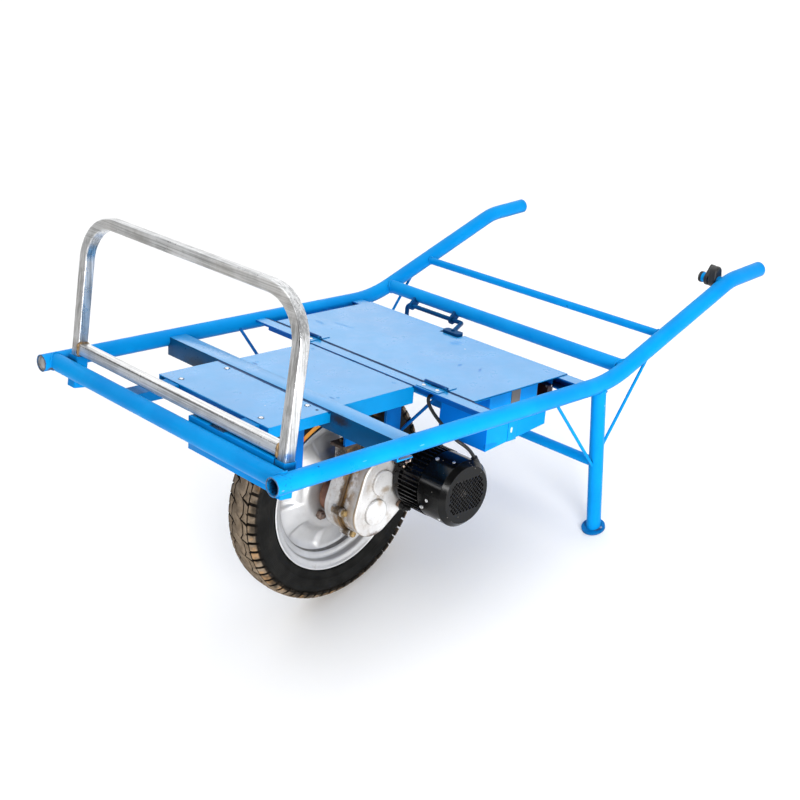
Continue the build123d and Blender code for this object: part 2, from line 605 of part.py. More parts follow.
# Lid with a notch for the catch paddle
lid = block(LID_REAR_X, LID_FRONT_X, LID_RIGHT, LID_LEFT, DECK_Z - SHEET, DECK_Z)
lid -= block(LID_REAR_X - 5, PADDLE_X + 14, PADDLE_Y - 27, PADDLE_Y + 27, 0, 20)
frame_leaves = Part()
lid_leaves = Part()
for y in (-HINGE_Y, HINGE_Y):
    third = HINGE_LEN / 3
    leaf = block(HINGE_X, HINGE_X + 26, y - HINGE_LEN / 2, y + HINGE_LEN / 2, DECK_Z, DECK_Z + 1.5)
    leaf -= block(HINGE_X - 10, HINGE_X + 5, y - third / 2 - 0.4, y + third / 2 + 0.4, 0, 30)
    moving = block(HINGE_X - 26, HINGE_X - 5, y - HINGE_LEN / 2, y + HINGE_LEN / 2, DECK_Z, DECK_Z + 1.5)
    moving += block(HINGE_X - 8, HINGE_X, y - third / 2, y + third / 2, DECK_Z, DECK_Z + 1.5)
    knuckle = cross(HINGE_X, HINGE_Z, y - third / 2, y + third / 2, KNUCKLE_R)
    lid_leaves += moving + knuckle - cross(HINGE_X, HINGE_Z, y - 50, y + 50, PIN_R + FIT)
    for end in (-1, 1):
        y0 = y + end * (third / 2 + 0.4)
        leaf += cross(HINGE_X, HINGE_Z, y0, y + end * HINGE_LEN / 2, KNUCKLE_R)
    frame_leaves += leaf + cross(HINGE_X, HINGE_Z, y - HINGE_LEN / 2 - 1, y + HINGE_LEN / 2 + 1, PIN_R)
hinge_screws = Part()
for y in (-HINGE_Y, HINGE_Y):
    for offset in (-18, 18):
        hinge_screws += upright(HINGE_X + 16, y + offset, DECK_Z - 2, DECK_Z + 1.5, 2)
        hinge_screws += upright(HINGE_X + 16, y + offset, DECK_Z + 1.5, DECK_Z + 3, 4.5)
pieces["deck_screws"] = screws + hinge_screws
pieces["frame_hinge_leaves"] = frame_leaves - hinge_screws
pieces["hinge_bar"] = pieces["hinge_bar"] - hinge_screws - bar_hole
pieces["lid"] = lid
pieces["lid_hinge_leaves"] = lid_leaves

# Lid catch: a bent rod swinging in two lugs under the rear cross tube
tube_fill = cross(REAR_LOW_X, REAR_LOW_Z, -RAIL_HALF, RAIL_HALF, REAR_LOW_R)
lugs = Part()
for y in (-246, -118):
    lug = round_hull([(CATCH_X, CATCH_Z, 10), (REAR_LOW_X + 6, REAR_LOW_Z - 6, 10)], y - 3, y + 3)
    lugs += lug - tube_fill - cross(CATCH_X, CATCH_Z, y - 10, y + 10, CATCH_R + FIT)
pieces["catch_lugs"] = lugs
catch_path = FilletPolyline(
    (CATCH_X, CATCH_RIGHT, CATCH_Z - 52),
    (CATCH_X, CATCH_RIGHT, CATCH_Z),
    (CATCH_X, CATCH_LEFT, CATCH_Z),
    (PADDLE_X, PADDLE_Y, CATCH_Z + 10.3),
    radius=12,
)
catch_ring = Pos(CATCH_X, CATCH_RIGHT, CATCH_Z - 52) * Circle(CATCH_R)
catch = sweep(catch_ring, path=catch_path)
paddle = RectangleRounded(22, 48, 8)
paddle = extrude(Pos(PADDLE_X, PADDLE_Y, DECK_Z - SHEET + 0.3) * paddle, 7)
catch -= block(PADDLE_X - 13, PADDLE_X + 60, -200, 100, -30, DECK_Z - SHEET + 0.3)
pieces["lid_catch"] = catch + paddle

# Throttle on a stub inside the left handle
STUB_X = -1258.0
STUB_Z = 152.0
STUB_R = 11.0
STUB_END = 294.0
stub = cross(STUB_X, STUB_Z, STUB_END, RAIL_HALF, STUB_R) - cross(STUB_X, STUB_Z, 280, RAIL_HALF, 9)
pieces["throttle_stub"] = stub - rail_fill
stub_cap = cross(STUB_X, STUB_Z, STUB_END - 6, STUB_END, 12) + cross(STUB_X, STUB_Z, STUB_END, STUB_END + 8, 9)
pieces["stub_cap"] = stub_cap
clamp = round_hull([(STUB_X, STUB_Z, 15), (STUB_X + 2, STUB_Z + 19, 13)], 313, 333)
clamp = fillet(clamp.edges().group_by(Axis.Y)[0] + clamp.edges().group_by(Axis.Y)[-1], 5)
pieces["throttle_clamp"] = clamp - cross(STUB_X, STUB_Z, 290, 340, STUB_R) - rail_fill
lever = round_hull([(STUB_X, STUB_Z, 14.5), (STUB_X - 9, STUB_Z + 24, 6)], 304, 312)
pieces["throttle_lever"] = lever - cross(STUB_X, STUB_Z, 290, 320, STUB_R + 0.3)


# Cable swept along its bends
def cable(points, radius):
    """Round cable of straight runs joined by tangent arcs."""
    places = [Vector(*p) for p in points]
    radii = []
    for before, here, after in zip(places, places[1:], places[2:]):
        first = here - before
        second = after - here
        half_turn = math.radians(first.get_angle(second)) / 2
        radii.append(0.45 * min(first.length, second.length) / math.tan(half_turn))
    path = FilletPolyline(*points, radius=radii)
    print("cable bend radii", [round(r, 1) for r in radii], "length", round(path.length, 1))
    section = Plane(origin=points[0], z_dir=(places[1] - places[0]).normalized()) * Circle(radius)
    return sweep(section, path=path)


pieces["motor_cable"] = cable(cable_points, CABLE_R)
pieces["cable_glands"] = glands - pieces["motor_cable"]


# Tip onto the floor, centre on the length and write
def settle(shape):
    """Turns a piece from deck axes to floor axes."""
    return Rot(0, -math.degrees(PITCH), 0) * shape


settled = {name: settle(shape) for name, shape in pieces.items()}
boxes = [shape.bounding_box() for shape in settled.values()]
low_x = min(box.min.X for box in boxes)
high_x = max(box.max.X for box in boxes)
wheel_low = WHEEL_X * math.sin(PITCH) + WHEEL_Z * math.cos(PITCH) - TYRE_R
shift = Pos(-(low_x + high_x) / 2, 0, -wheel_low)
for name, shape in settled.items():
    export_step(shift * shape, "parts/" + name + ".step")


def floor_point(x, y, z):
    """Floor coordinates of a point given in deck axes."""
    turned_x = x * math.cos(PITCH) - z * math.sin(PITCH) - (low_x + high_x) / 2
    turned_z = x * math.sin(PITCH) + z * math.cos(PITCH) - wheel_low
    return (round(turned_x, 3), y, round(turned_z, 3))


print("pieces", len(pieces), "pitch", round(math.degrees(PITCH), 4), "length", round(high_x - low_x, 1))
print("wheel", floor_point(WHEEL_X, 0, WHEEL_Z))
print("counter", floor_point(COUNTER_X, 0, COUNTER_Z), "pinion", round(counter_pinion_r, 3))
print("idler", floor_point(IDLER_X, 0, IDLER_Z), "radius", round(idler_r, 3))
print("motor", floor_point(MOTOR_X, 0, MOTOR_Z))
print("hinge", floor_point(HINGE_X, 0, HINGE_Z))
print("catch", floor_point(CATCH_X, 0, CATCH_Z))
print("stub", floor_point(STUB_X, 0, STUB_Z))
print("deck origin", floor_point(0, 0, 0))
print("socket", floor_point(SOCKET_X, 0, 0))
print("handle", floor_point(HANDLE_X, RAIL_HALF, HANDLE_Z))
print("foot", floor_point(FOOT_X, RAIL_HALF, FOOT_Z))
print("lid", floor_point((LID_FRONT_X + LID_REAR_X) / 2, 0, DECK_Z))
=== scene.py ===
import logging
import math
import random
from dataclasses import dataclass, field
from enum import Enum
from typing import Callable, Sequence

import bmesh
import bpy
from mathutils import Matrix, Vector


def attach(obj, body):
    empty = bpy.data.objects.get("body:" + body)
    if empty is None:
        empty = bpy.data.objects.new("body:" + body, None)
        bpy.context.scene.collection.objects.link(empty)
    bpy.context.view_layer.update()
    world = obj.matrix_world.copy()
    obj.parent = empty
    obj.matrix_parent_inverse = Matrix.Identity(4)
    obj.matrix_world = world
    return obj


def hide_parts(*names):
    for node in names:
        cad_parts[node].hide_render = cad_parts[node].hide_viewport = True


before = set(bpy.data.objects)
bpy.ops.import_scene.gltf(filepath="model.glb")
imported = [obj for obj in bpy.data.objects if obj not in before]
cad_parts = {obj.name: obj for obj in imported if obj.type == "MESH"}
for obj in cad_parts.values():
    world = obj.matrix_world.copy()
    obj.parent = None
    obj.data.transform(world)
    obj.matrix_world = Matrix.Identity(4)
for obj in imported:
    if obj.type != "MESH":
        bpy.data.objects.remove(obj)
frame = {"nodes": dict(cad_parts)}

LOG = logging.getLogger("electric_wheelbarrow")
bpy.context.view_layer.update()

Colour = tuple[float, float, float]
Point = tuple[float, float, float]
Span = tuple[float, float]
Outline = list[tuple[float, float]]
Shape = bmesh.types.BMesh
Material = bpy.types.Material
Look = tuple[object, str]  # a finish and the CAD nodes that get it

# The deck leans back on the floor; pieces are drawn in deck axes, in millimetres, and tipped here.
MM = 0.001
PITCH = math.radians(21.1245)
DECK = Matrix.Translation((0.677832, 0.0, 0.627855)) @ Matrix.Rotation(-PITCH, 4, "Y") @ Matrix.Scale(MM, 4)

# Axes, places and a direction that several pieces share, in deck millimetres
WHEEL: Point = (-443, 0, -250)
COUNTER: Point = (-457, 0, -190)
MOTOR: Point = (-546, 0, -187)
ACROSS: Point = (0, 1, 0)
RAIL_HALF = 350.0
DECK_TOP = 6.0
SCREW_HALF = 120.0
FRONT_SCREWS = [(x, y, DECK_TOP) for x in (-162, -270) for y in (-SCREW_HALF, SCREW_HALF)]
REAR_SCREWS = [(x, y, DECK_TOP) for x in (-345, -490) for y in (-SCREW_HALF, SCREW_HALF)]
HINGE_HALF = 185.0

# The tread's surface: radius in the middle, arch over the width, where its edge starts and how fast that drops
CROWN = 234.6
ARCH = 0.0042
EDGE = 27.0
EDGE_DROP = 0.052


def deck(x: float, y: float, z: float) -> Vector:
    """Floor point in metres of a deck point in millimetres."""
    return DECK @ Vector((x, y, z))


@dataclass(frozen=True)
class Mark:
    """A scuff, stain or chip: its place and half sizes in deck millimetres."""

    spot: Point
    half: Point
    tone: Colour
    turn: float = 0.0
    strength: float = 1.0
    soft: float = 0.4


def as_marks(*rows: tuple) -> tuple[Mark, ...]:
    """Marks from rows of their values."""
    return tuple(Mark(*row) for row in rows)


def ease(value: float) -> float:
    """Smooth step of a value that is held between 0 and 1."""
    held = min(1.0, max(0.0, value))
    return held * held * (3.0 - 2.0 * held)


class Shader:
    """A shader socket that takes part in Python arithmetic."""

    def __init__(self, tree: "NodeTree", socket: bpy.types.NodeSocket) -> None:
        """Keeps the tree and the socket."""
        self.tree = tree
        self.socket = socket

    def maths(self, operation: str, *others: "Shader | float") -> "Shader":
        """Adds a Math node on this value and the other operands."""
        return self.tree.node("ShaderNodeMath", {"operation": operation}, dict(enumerate((self, *others))))

    def __add__(self, other: "Shader | float") -> "Shader":
        """Sum."""
        return self.maths("ADD", other)

    __radd__ = __add__

    def __mul__(self, other: "Shader | float") -> "Shader":
        """Product."""
        return self.maths("MULTIPLY", other)

    __rmul__ = __mul__

    def __sub__(self, other: "Shader | float") -> "Shader":
        """Difference."""
        return self.maths("SUBTRACT", other)

    def __rsub__(self, other: float) -> "Shader":
        """Reflected difference."""
        return (self * -1.0) + other

    def __pow__(self, other: float) -> "Shader":
        """Power."""
        return self.maths("POWER", other)

    def over(self, low: float, high: float) -> "Shader":
        """Smooth step that is 0 at low and 1 at high."""
        values = {"Value": self, "From Min": low, "From Max": high}
        return self.tree.node("ShaderNodeMapRange", {"interpolation_type": "SMOOTHSTEP"}, values)

    def band(self, low: float, high: float, soft: float) -> "Shader":
        """Mask that is 1 from low to high, with soft edges."""
        return self.over(low - soft, low) * (1.0 - self.over(high, high + soft))

    def between(self, low: float, high: float) -> "Shader":
        """Linear run from low to high as this value goes from 0 to 1."""
        return self * (high - low) + low


class NodeTree:
    """Builds the node tree of one material or of the studio's dome."""

    def __init__(self, owner: Material | bpy.types.World, place: str = "Object") -> None:
        """Starts the tree.

        Args:
            owner: the material or world.
            place: the coordinates that patterns read; Object ones are floor metres.
        """
        owner.use_nodes = True
        self.owner = owner
        self.tree = owner.node_tree
        self.place = self.node("ShaderNodeTexCoord", output=place)

    def node(
        self, kind: str, settings: dict | None = None, values: dict | None = None, output: int | str = 0
    ) -> Shader:
        """Adds any node.

        Args:
            kind: the node's type name.
            settings: properties set before the sockets.
            values: socket name or index to a number, colour or shader value.
            output: the output that is returned.

        Returns:
            The chosen output.
        """
        made = self.tree.nodes.new(kind)
        for key, value in (settings or {}).items():
            setattr(made, key, value)
        for key, value in (values or {}).items():
            self.feed(made.inputs[key], value)
        return Shader(self, made.outputs[output])

    def feed(self, socket: bpy.types.NodeSocket, value: object) -> None:
        """Links or sets a socket.

        Args:
            socket: the input socket.
            value: a shader value, number or colour.
        """
        if isinstance(value, Shader):
            self.tree.links.new(value.socket, socket)
        elif socket.type == "RGBA":
            socket.default_value = (*value, 1.0)
        else:
            socket.default_value = value

    def surface(self, **values: object) -> Material:
        """Feeds the surface shader.

        Args:
            values: socket names with underscores for spaces.

        Returns:
            The material.
        """
        shader = self.tree.nodes["Principled BSDF"]
        for key, value in values.items():
            self.feed(shader.inputs[key.replace("_", " ")], value)
        return self.owner

    def noise(self, scale: float, detail: float = 4.0, rough: float = 0.55, at: Shader | None = None) -> Shader:
        """Noise between 0 and 1."""
        values = {"Vector": at or self.place, "Scale": scale, "Detail": detail, "Roughness": rough}
        return self.node("ShaderNodeTexNoise", None, values)

    def local(self, place: Vector, turn: Point, cell: Point) -> Shader:
        """Coordinates from a place, turned and in cells of a size in metres."""
        values = {"Vector": self.place, "Location": place, "Rotation": turn, "Scale": cell}
        return self.node("ShaderNodeMapping", {"vector_type": "TEXTURE"}, values)

    def streaks(self, cell: Point, low: float, high: float) -> Shader:
        """Drawn out streaks in deck axes, 0 to 1."""
        return self.noise(1, 5, 0.65, self.local(Vector(), (0, -PITCH, 0), cell)).over(low, high)

    def specks(self, scale: float, share: float, size: float) -> Shader:
        """Scattered dots.

        Args:
            scale: cells in a metre.
            share: how many of the cells hold a dot.
            size: a dot's part of its cell.

        Returns:
            1 on the dots and 0 elsewhere.
        """
        dot = self.node("ShaderNodeTexVoronoi", None, {"Vector": self.place, "Scale": scale}, "Distance")
        tone = Shader(self, dot.socket.node.outputs["Color"])
        pick = self.node("ShaderNodeSeparateColor", None, {0: tone})
        return pick.over(0.998 - share, 1.0 - share) * (1.0 - dot.over(size * 0.6, size))

    def mix(self, share: Shader | float, first: object, second: object) -> Shader:
        """Mixes two colours."""
        return self.node("ShaderNodeMix", {"data_type": "RGBA"}, {0: share, 6: first, 7: second}, 2)

    def coats(self, colour: object, *layers: tuple[Shader, object]) -> Shader:
        """Lays colours over one another.

        Args:
            colour: the lowest colour.
            layers: pairs of a share and the colour that it brings.

        Returns:
            The colour that is seen.
        """
        for share, tone in layers:
            colour = self.mix(share, colour, tone)
        return colour

    def bump(self, height: Shader, strength: float, depth: float, under: Shader | None = None) -> Shader:
        """Bump normal from a height in units of depth metres."""
        values = {"Height": height, "Strength": strength, "Distance": depth}
        return self.node("ShaderNodeBump", None, values | ({"Normal": under} if under else {}))

    def soft_edges(self, radius: float) -> Shader:
        """Normal rounded over edges."""
        return self.node("ShaderNodeBevel", {"samples": 6}, {"Radius": radius})

    def dot(self, first: Shader, second: Shader | Point) -> Shader:
        """Dot product of two directions."""
        return self.node("ShaderNodeVectorMath", {"operation": "DOT_PRODUCT"}, {0: first, 1: second}, "Value")

    def edges(self, rounded: Shader) -> Shader:
        """Mask of a rounded normal that is high along edges and 0 on flat faces."""
        return 1.0 - self.dot(rounded, self.node("ShaderNodeNewGeometry", output="True Normal"))

    def recess(self, reach: float) -> Shader:
        """Mask of corners and hollows that other surfaces close in within a reach in metres."""
        return 1.0 - self.node("ShaderNodeAmbientOcclusion", {"samples": 8}, {"Distance": reach}, "AO")

    def facing(self, which: int) -> Shader:
        """One part of the surface's direction."""
        normal = self.node("ShaderNodeNewGeometry", output="Normal")
        return self.node("ShaderNodeSeparateXYZ", None, {0: normal}, which)

    def axis(self, which: int) -> Shader:
        """One coordinate in metres."""
        return self.node("ShaderNodeSeparateXYZ", None, {0: self.place}, which)

    def from_axle(self, centre: Vector) -> Shader:
        """Distance from a cross axis through a point."""
        x, z = self.axis(0) - centre.x, self.axis(2) - centre.z
        return (x * x + z * z) ** 0.5

    def patch(self, mark: Mark) -> Shader:
        """Ragged mask of a mark.

        Args:
            mark: the mark.

        Returns:
            Its strength inside and 0 outside.
        """
        turn = Matrix.Rotation(-PITCH, 3, "Y") @ Matrix.Rotation(math.radians(mark.turn), 3, "Z")
        local = self.local(deck(*mark.spot), turn.to_euler(), Vector(mark.half) * MM)
        far = self.node("ShaderNodeVectorMath", {"operation": "LENGTH"}, {0: local}, "Value")
        ragged = far + (self.noise(260, 3, 0.6) - 0.5) * 0.9
        return (1.0 - ragged.over(1.1 - mark.soft, 1.1)) * mark.strength

    def marked(self, colour: Shader, found: Sequence[Mark]) -> tuple[Shader, Shader | float]:
        """Lays marks over a colour.

        Args:
            colour: the clean colour.
            found: the marks on it.

        Returns:
            The marked colour and the share of the surface that is left clean.
        """
        clean: Shader | float = 1.0
        for mark in found:
            share = self.patch(mark)
            colour = self.mix(share, colour, mark.tone)
            clean = (1.0 - share) * clean
        return colour, clean


def new_tree(name: str) -> NodeTree:
    """Node tree of a new material."""
    return NodeTree(bpy.data.materials.new(name))


@dataclass(frozen=True)
class AzurePaint:
    """Gloss azure paint with dust, rubbed edges, chips and fine scratches, and painted shade in hollows, in corners,
    on downward faces and, where a front colour is given, on forward faces.
    """

    name: str = "azure_tube"
    base: Colour = (0.0012, 0.320, 0.80)
    deep: Colour = (0.0009, 0.255, 0.70)
    pale: Colour = (0.030, 0.39, 0.80)
    gloss: float = 0.34
    specular: float = 0.05
    coat: float = 0.0
    dusting: float = 0.12
    scratch: float = 0.22
    # strength of the painted shade in hollows and corners
    recess_shade_strength: float = 0.9
    # colour of painted shade on forward faces
    front: Colour | None = None
    marks: tuple[Mark, ...] = ()

    def make(self) -> Material:
        """Builds the paint.

        Returns:
            The material.
        """
        t = new_tree(self.name)
        rounded = t.soft_edges(0.0011)
        strokes = t.streaks((0.05, 0.012, 0.05), 0.35, 0.75) * t.noise(6, 3).over(0.4, 0.7) * 0.35
        powder = t.facing(2).over(0.3, 0.95) * t.noise(16, 6, 0.65).over(0.35, 0.75) * self.dusting
        along = t.streaks((0.10, 0.0016, 0.0016), 0.66, 0.74)
        across = t.streaks((0.0016, 0.09, 0.0016), 0.68, 0.76)
        lines = along.maths("MAXIMUM", across) * t.noise(5, 3).over(0.48, 0.66) * self.scratch
        chips = t.specks(85, 0.035, 0.20) * t.noise(13, 2).over(0.50, 0.58)
        nicks = t.specks(60, 0.016, 0.16) * t.noise(9, 2).over(0.46, 0.56)
        rub = t.edges(rounded).over(0.03, 0.25) * t.noise(75, 5, 0.6).over(0.44, 0.66)
        # Painted shade in hollows and tight corners, from occlusion
        hollow_shade = t.recess(0.07).over(0.32, 0.85) * self.recess_shade_strength
        corner_shade = t.recess(0.006).over(0.30, 0.75) * t.noise(120, 4).between(0.5, 1.0) * self.recess_shade_strength
        # Painted shade on downward faces
        under = (1.0 - t.facing(2).over(-0.90, -0.15)) * 0.7
        colour = t.coats(
            t.mix(t.noise(7, 5, 0.6).over(0.3, 0.7), self.deep, self.base),
            (strokes, self.deep),
            (powder, self.pale),
            (lines, (0.19, 0.50, 0.90)),
            (chips * 0.75, (0.006, 0.055, 0.20)),
            (nicks * 0.85, (0.62, 0.70, 0.78)),
            (rub * 0.42, (0.22, 0.50, 0.84)),
            # painted shade in hollows and corners
            (hollow_shade, (0.0018, 0.032, 0.108)),
            (corner_shade, (0.004, 0.018, 0.05)),
            # painted shade on downward faces
            (under, (0.0008, 0.085, 0.30)),
        )
        # Painted shade on forward faces, patchy
        if self.front:
            ahead = t.facing(0).over(0.55, 0.85) * t.noise(14, 4).between(0.75, 1.0)
            colour = t.mix(ahead, colour, self.front)
        colour, clean = t.marked(colour, self.marks)
        spread = t.noise(16, 6, 0.65).over(0.25, 0.75).between(self.gloss - 0.09, self.gloss + 0.14)
        peel = t.noise(380, 2) * 0.5 + t.noise(40, 3) * 0.8 - chips
        return t.surface(
            Base_Color=colour,
            Roughness=spread + powder * 0.5 + chips * 0.3 + hollow_shade * 0.2,
            Normal=t.bump(peel, 0.10, 0.0007, rounded),
            Specular_IOR_Level=self.specular,
            Coat_Weight=t.facing(2).over(0.62, 0.86) * self.coat * clean,
            Coat_Roughness=0.24,
            Coat_IOR=1.85,
        )


# The flat sheets shine more than the tubes and gather dust
SHEET_LOOK = dict(
    base=(0.002, 0.300, 0.70), deep=(0.0015, 0.255, 0.62), pale=(0.05, 0.34, 0.68),
    gloss=0.30, specular=0.06, dusting=0.35, coat=0.86,
)
NAVY: Colour = (0.006, 0.06, 0.22)
# colour of painted shadow lines in the gaps along the hinge line
GAP_SHADOW: Colour = (0.001, 0.040, 0.13)


@dataclass(frozen=True)
class Zinc:
    """Galvanised or plated steel with drawn streaks, cloudy patches and painted warm grey shade on forward faces."""

    name: str
    light: Colour = (0.84, 0.85, 0.86)
    dark: Colour = (0.36, 0.365, 0.37)
    grain: Point = (0.0035, 0.0035, 0.20)
    across_above: float = 0.0
    gloss: float = 0.18
    front_face_shade: float = 0.0
    rust: float = 0.0
    marks: tuple[Mark, ...] = ()

    def make(self) -> Material:
        """Builds the zinc.

        Returns:
            The material.
        """
        t = new_tree(self.name)
        rounded = t.soft_edges(0.0012)
        drawn = t.streaks(self.grain, 0.3, 0.7)
        if self.across_above:
            high = t.axis(2).over(self.across_above, self.across_above + 0.04)
            drawn = drawn * (1.0 - high) + t.streaks((0.0035, 0.20, 0.0035), 0.3, 0.7) * high
        tone = drawn * 0.55 + t.noise(24, 6, 0.65) * 0.75 - 0.15
        # Painted shade: forward faces turn a patchy warm grey
        brown = t.facing(0).over(0.35, 0.9) * self.front_face_shade * t.noise(9, 5, 0.6).over(0.25, 0.7)
        spots = t.specks(150, 0.10, 0.30) * t.noise(20, 3).over(0.45, 0.6)
        stain = t.noise(38, 6, 0.7).over(0.70 - 0.3 * self.rust, 0.82 - 0.2 * self.rust)
        stain = stain * min(1.0, 0.2 + self.rust)
        colour = t.coats(
            t.mix(tone.over(0.15, 0.75), self.dark, self.light),
            # painted shade on forward faces
            (brown, (0.44, 0.40, 0.345)),
            (spots * 0.45, (0.33, 0.31, 0.29)),
            (stain, (0.20, 0.085, 0.03)),
            (t.recess(0.012).over(0.30, 0.80) * 0.7, (0.06, 0.055, 0.05)),  # painted shade in corners
        )
        return t.surface(
            Base_Color=t.marked(colour, self.marks)[0],
            Metallic=0.92 - stain * 0.85,
            Roughness=t.noise(45, 5).between(self.gloss, self.gloss + 0.24) + stain * 0.35 + brown * 0.15,
            Normal=t.bump(drawn * 0.5 + t.noise(300, 3) * 0.3, 0.12, 0.0005, rounded),
        )


@dataclass(frozen=True)
class SilverRim:
    """Silver painted pressed steel with a weld line and splashed dirt."""

    name: str = "rim_silver"

    def make(self) -> Material:
        """Builds the rim paint.

        Returns:
            The material.
        """
        t = new_tree(self.name)
        radius = t.from_axle(deck(*WHEEL))
        turned = (radius * 5200.0 + t.noise(30, 4) * 9.0).maths("SINE").over(0.0, 1.0)
        weld = radius.band(0.1330, 0.1346, 0.0008) * t.noise(60, 4).between(0.55, 1.0)
        dirt = t.noise(30, 6, 0.7).over(0.58, 0.76) * (0.22 + radius.over(0.13, 0.165) * 0.35)
        colour = t.coats(
            t.mix(t.noise(9, 5).over(0.3, 0.75), (0.50, 0.50, 0.505), (0.70, 0.70, 0.705)),
            ((1.0 - radius.over(0.070, 0.092)) * 0.45, (0.36, 0.345, 0.33)),  # painted shade on the raised middle
            (t.recess(0.09).over(0.35, 0.95) * 0.42, (0.10, 0.092, 0.085)),  # shade in the well
            (turned * radius.band(0.138, 0.160, 0.003) * 0.22, (0.42, 0.42, 0.43)),
            (weld, (0.05, 0.045, 0.042)),
            (radius.band(0.1478, 0.1486, 0.0014) * 0.5, (0.20, 0.19, 0.18)),  # line of the seat
            (radius.over(0.1625, 0.1640) * 0.8, (0.90, 0.90, 0.90)),  # bright lip
            (dirt, (0.25, 0.20, 0.155)),
            (t.streaks((0.012, 0.02, 0.12), 0.62, 0.76) * 0.22, (0.30, 0.22, 0.15)),  # runs
            (t.specks(70, 0.03, 0.26) * 0.7, (0.20, 0.10, 0.05)),  # rust spots
        )
        return t.surface(
            Base_Color=colour,
            Metallic=0.72 - dirt * 0.6,
            Roughness=t.noise(30, 4).between(0.28, 0.42) + dirt * 0.3,
            Normal=t.bump(t.noise(260, 3) * 0.7 - weld, 0.15, 0.0007),
        )


@dataclass(frozen=True)
class TyreRubber:
    """Black rubber: dusty tan tread tops, dark grooves, ringed sidewalls with a worn stripe."""

    name: str = "tyre_rubber"
    tread: bool = False

    def make(self) -> Material:
        """Builds the rubber.

        Returns:
            The material.
        """
        t = new_tree(self.name)
        radius = t.from_axle(deck(*WHEEL))
        black = t.mix(t.noise(30, 5).over(0.3, 0.7), (0.0040, 0.0040, 0.0038), (0.0105, 0.0105, 0.010))
        film = t.mix(t.noise(18, 6, 0.7).over(0.5, 0.85) * 0.07, black, (0.14, 0.12, 0.10))
        colour = self.dusty_tread(t, radius, black) if self.tread else self.sidewall(t, radius, film)
        ribs = (radius * 2100.0).maths("SINE").over(0.2, 0.9) * radius.band(0.186, 0.206, 0.002)
        return t.surface(
            Base_Color=colour,
            Roughness=t.noise(40, 4).between(0.46, 0.66) + radius.over(0.212, 0.222) * 0.25,
            Normal=t.bump(t.noise(190, 4) * 0.5 + ribs * 0.5, 0.35, 0.0009),
            Specular_IOR_Level=0.09,
        )

    def dusty_tread(self, t: NodeTree, radius: Shader, black: Shader) -> Shader:
        """Colours the tread by its height over the grooves.

        Args:
            t: the material's tree.
            radius: distance from the axle.
            black: clean rubber.

        Returns:
            The colour.
        """
        side = t.axis(1).maths("ABSOLUTE")
        past = (side - EDGE * MM).maths("MAXIMUM", 0.0)
        level = radius + side * side * (ARCH / MM) + past * past * (EDGE_DROP / MM) - CROWN * MM
        orange = side.over(EDGE * MM, 0.032) * t.noise(26, 3).over(0.45, 0.62)
        soil = t.coats(
            t.mix(t.noise(45, 6, 0.7).over(0.3, 0.75), (0.145, 0.108, 0.074), (0.31, 0.243, 0.175)),
            (t.specks(420, 0.25, 0.4) * 0.5, (0.20, 0.145, 0.095)),
            (orange * 0.7, (0.42, 0.235, 0.10)),
        )
        groove = t.mix(t.noise(90, 4).over(0.4, 0.7), (0.010, 0.008, 0.006), (0.040, 0.030, 0.022))
        worn = side.over(0.028, 0.037) * t.noise(40, 4).over(0.36, 0.60)
        return t.coats(groove, (level.over(-0.0022, -0.0002), soil), (worn * 0.75, black))

    def sidewall(self, t: NodeTree, radius: Shader, film: Shader) -> Shader:
        """Colours the carcass: brown under the tread, a worn stripe on the near side.

        Args:
            t: the material's tree.
            radius: distance from the axle.
            film: dusted rubber.

        Returns:
            The colour.
        """
        hub = deck(*WHEEL)
        under = t.mix(t.noise(60, 5).over(0.4, 0.7), (0.006, 0.005, 0.004), (0.024, 0.018, 0.013))
        angle = (t.axis(2) - hub.z).maths("ARCTAN2", t.axis(0) - hub.x)
        arc = angle.band(0.95, 2.3, 0.25) * t.axis(1).over(0.02, 0.03) * t.noise(26, 4).over(0.25, 0.45)
        stripe = t.mix(angle.over(1.28, 1.36), (0.55, 0.07, 0.02), (0.60, 0.26, 0.05))
        return t.coats(
            film, (radius.over(0.211, 0.220), under), (radius.band(0.1735, 0.1830, 0.0012) * arc, stripe)
        )


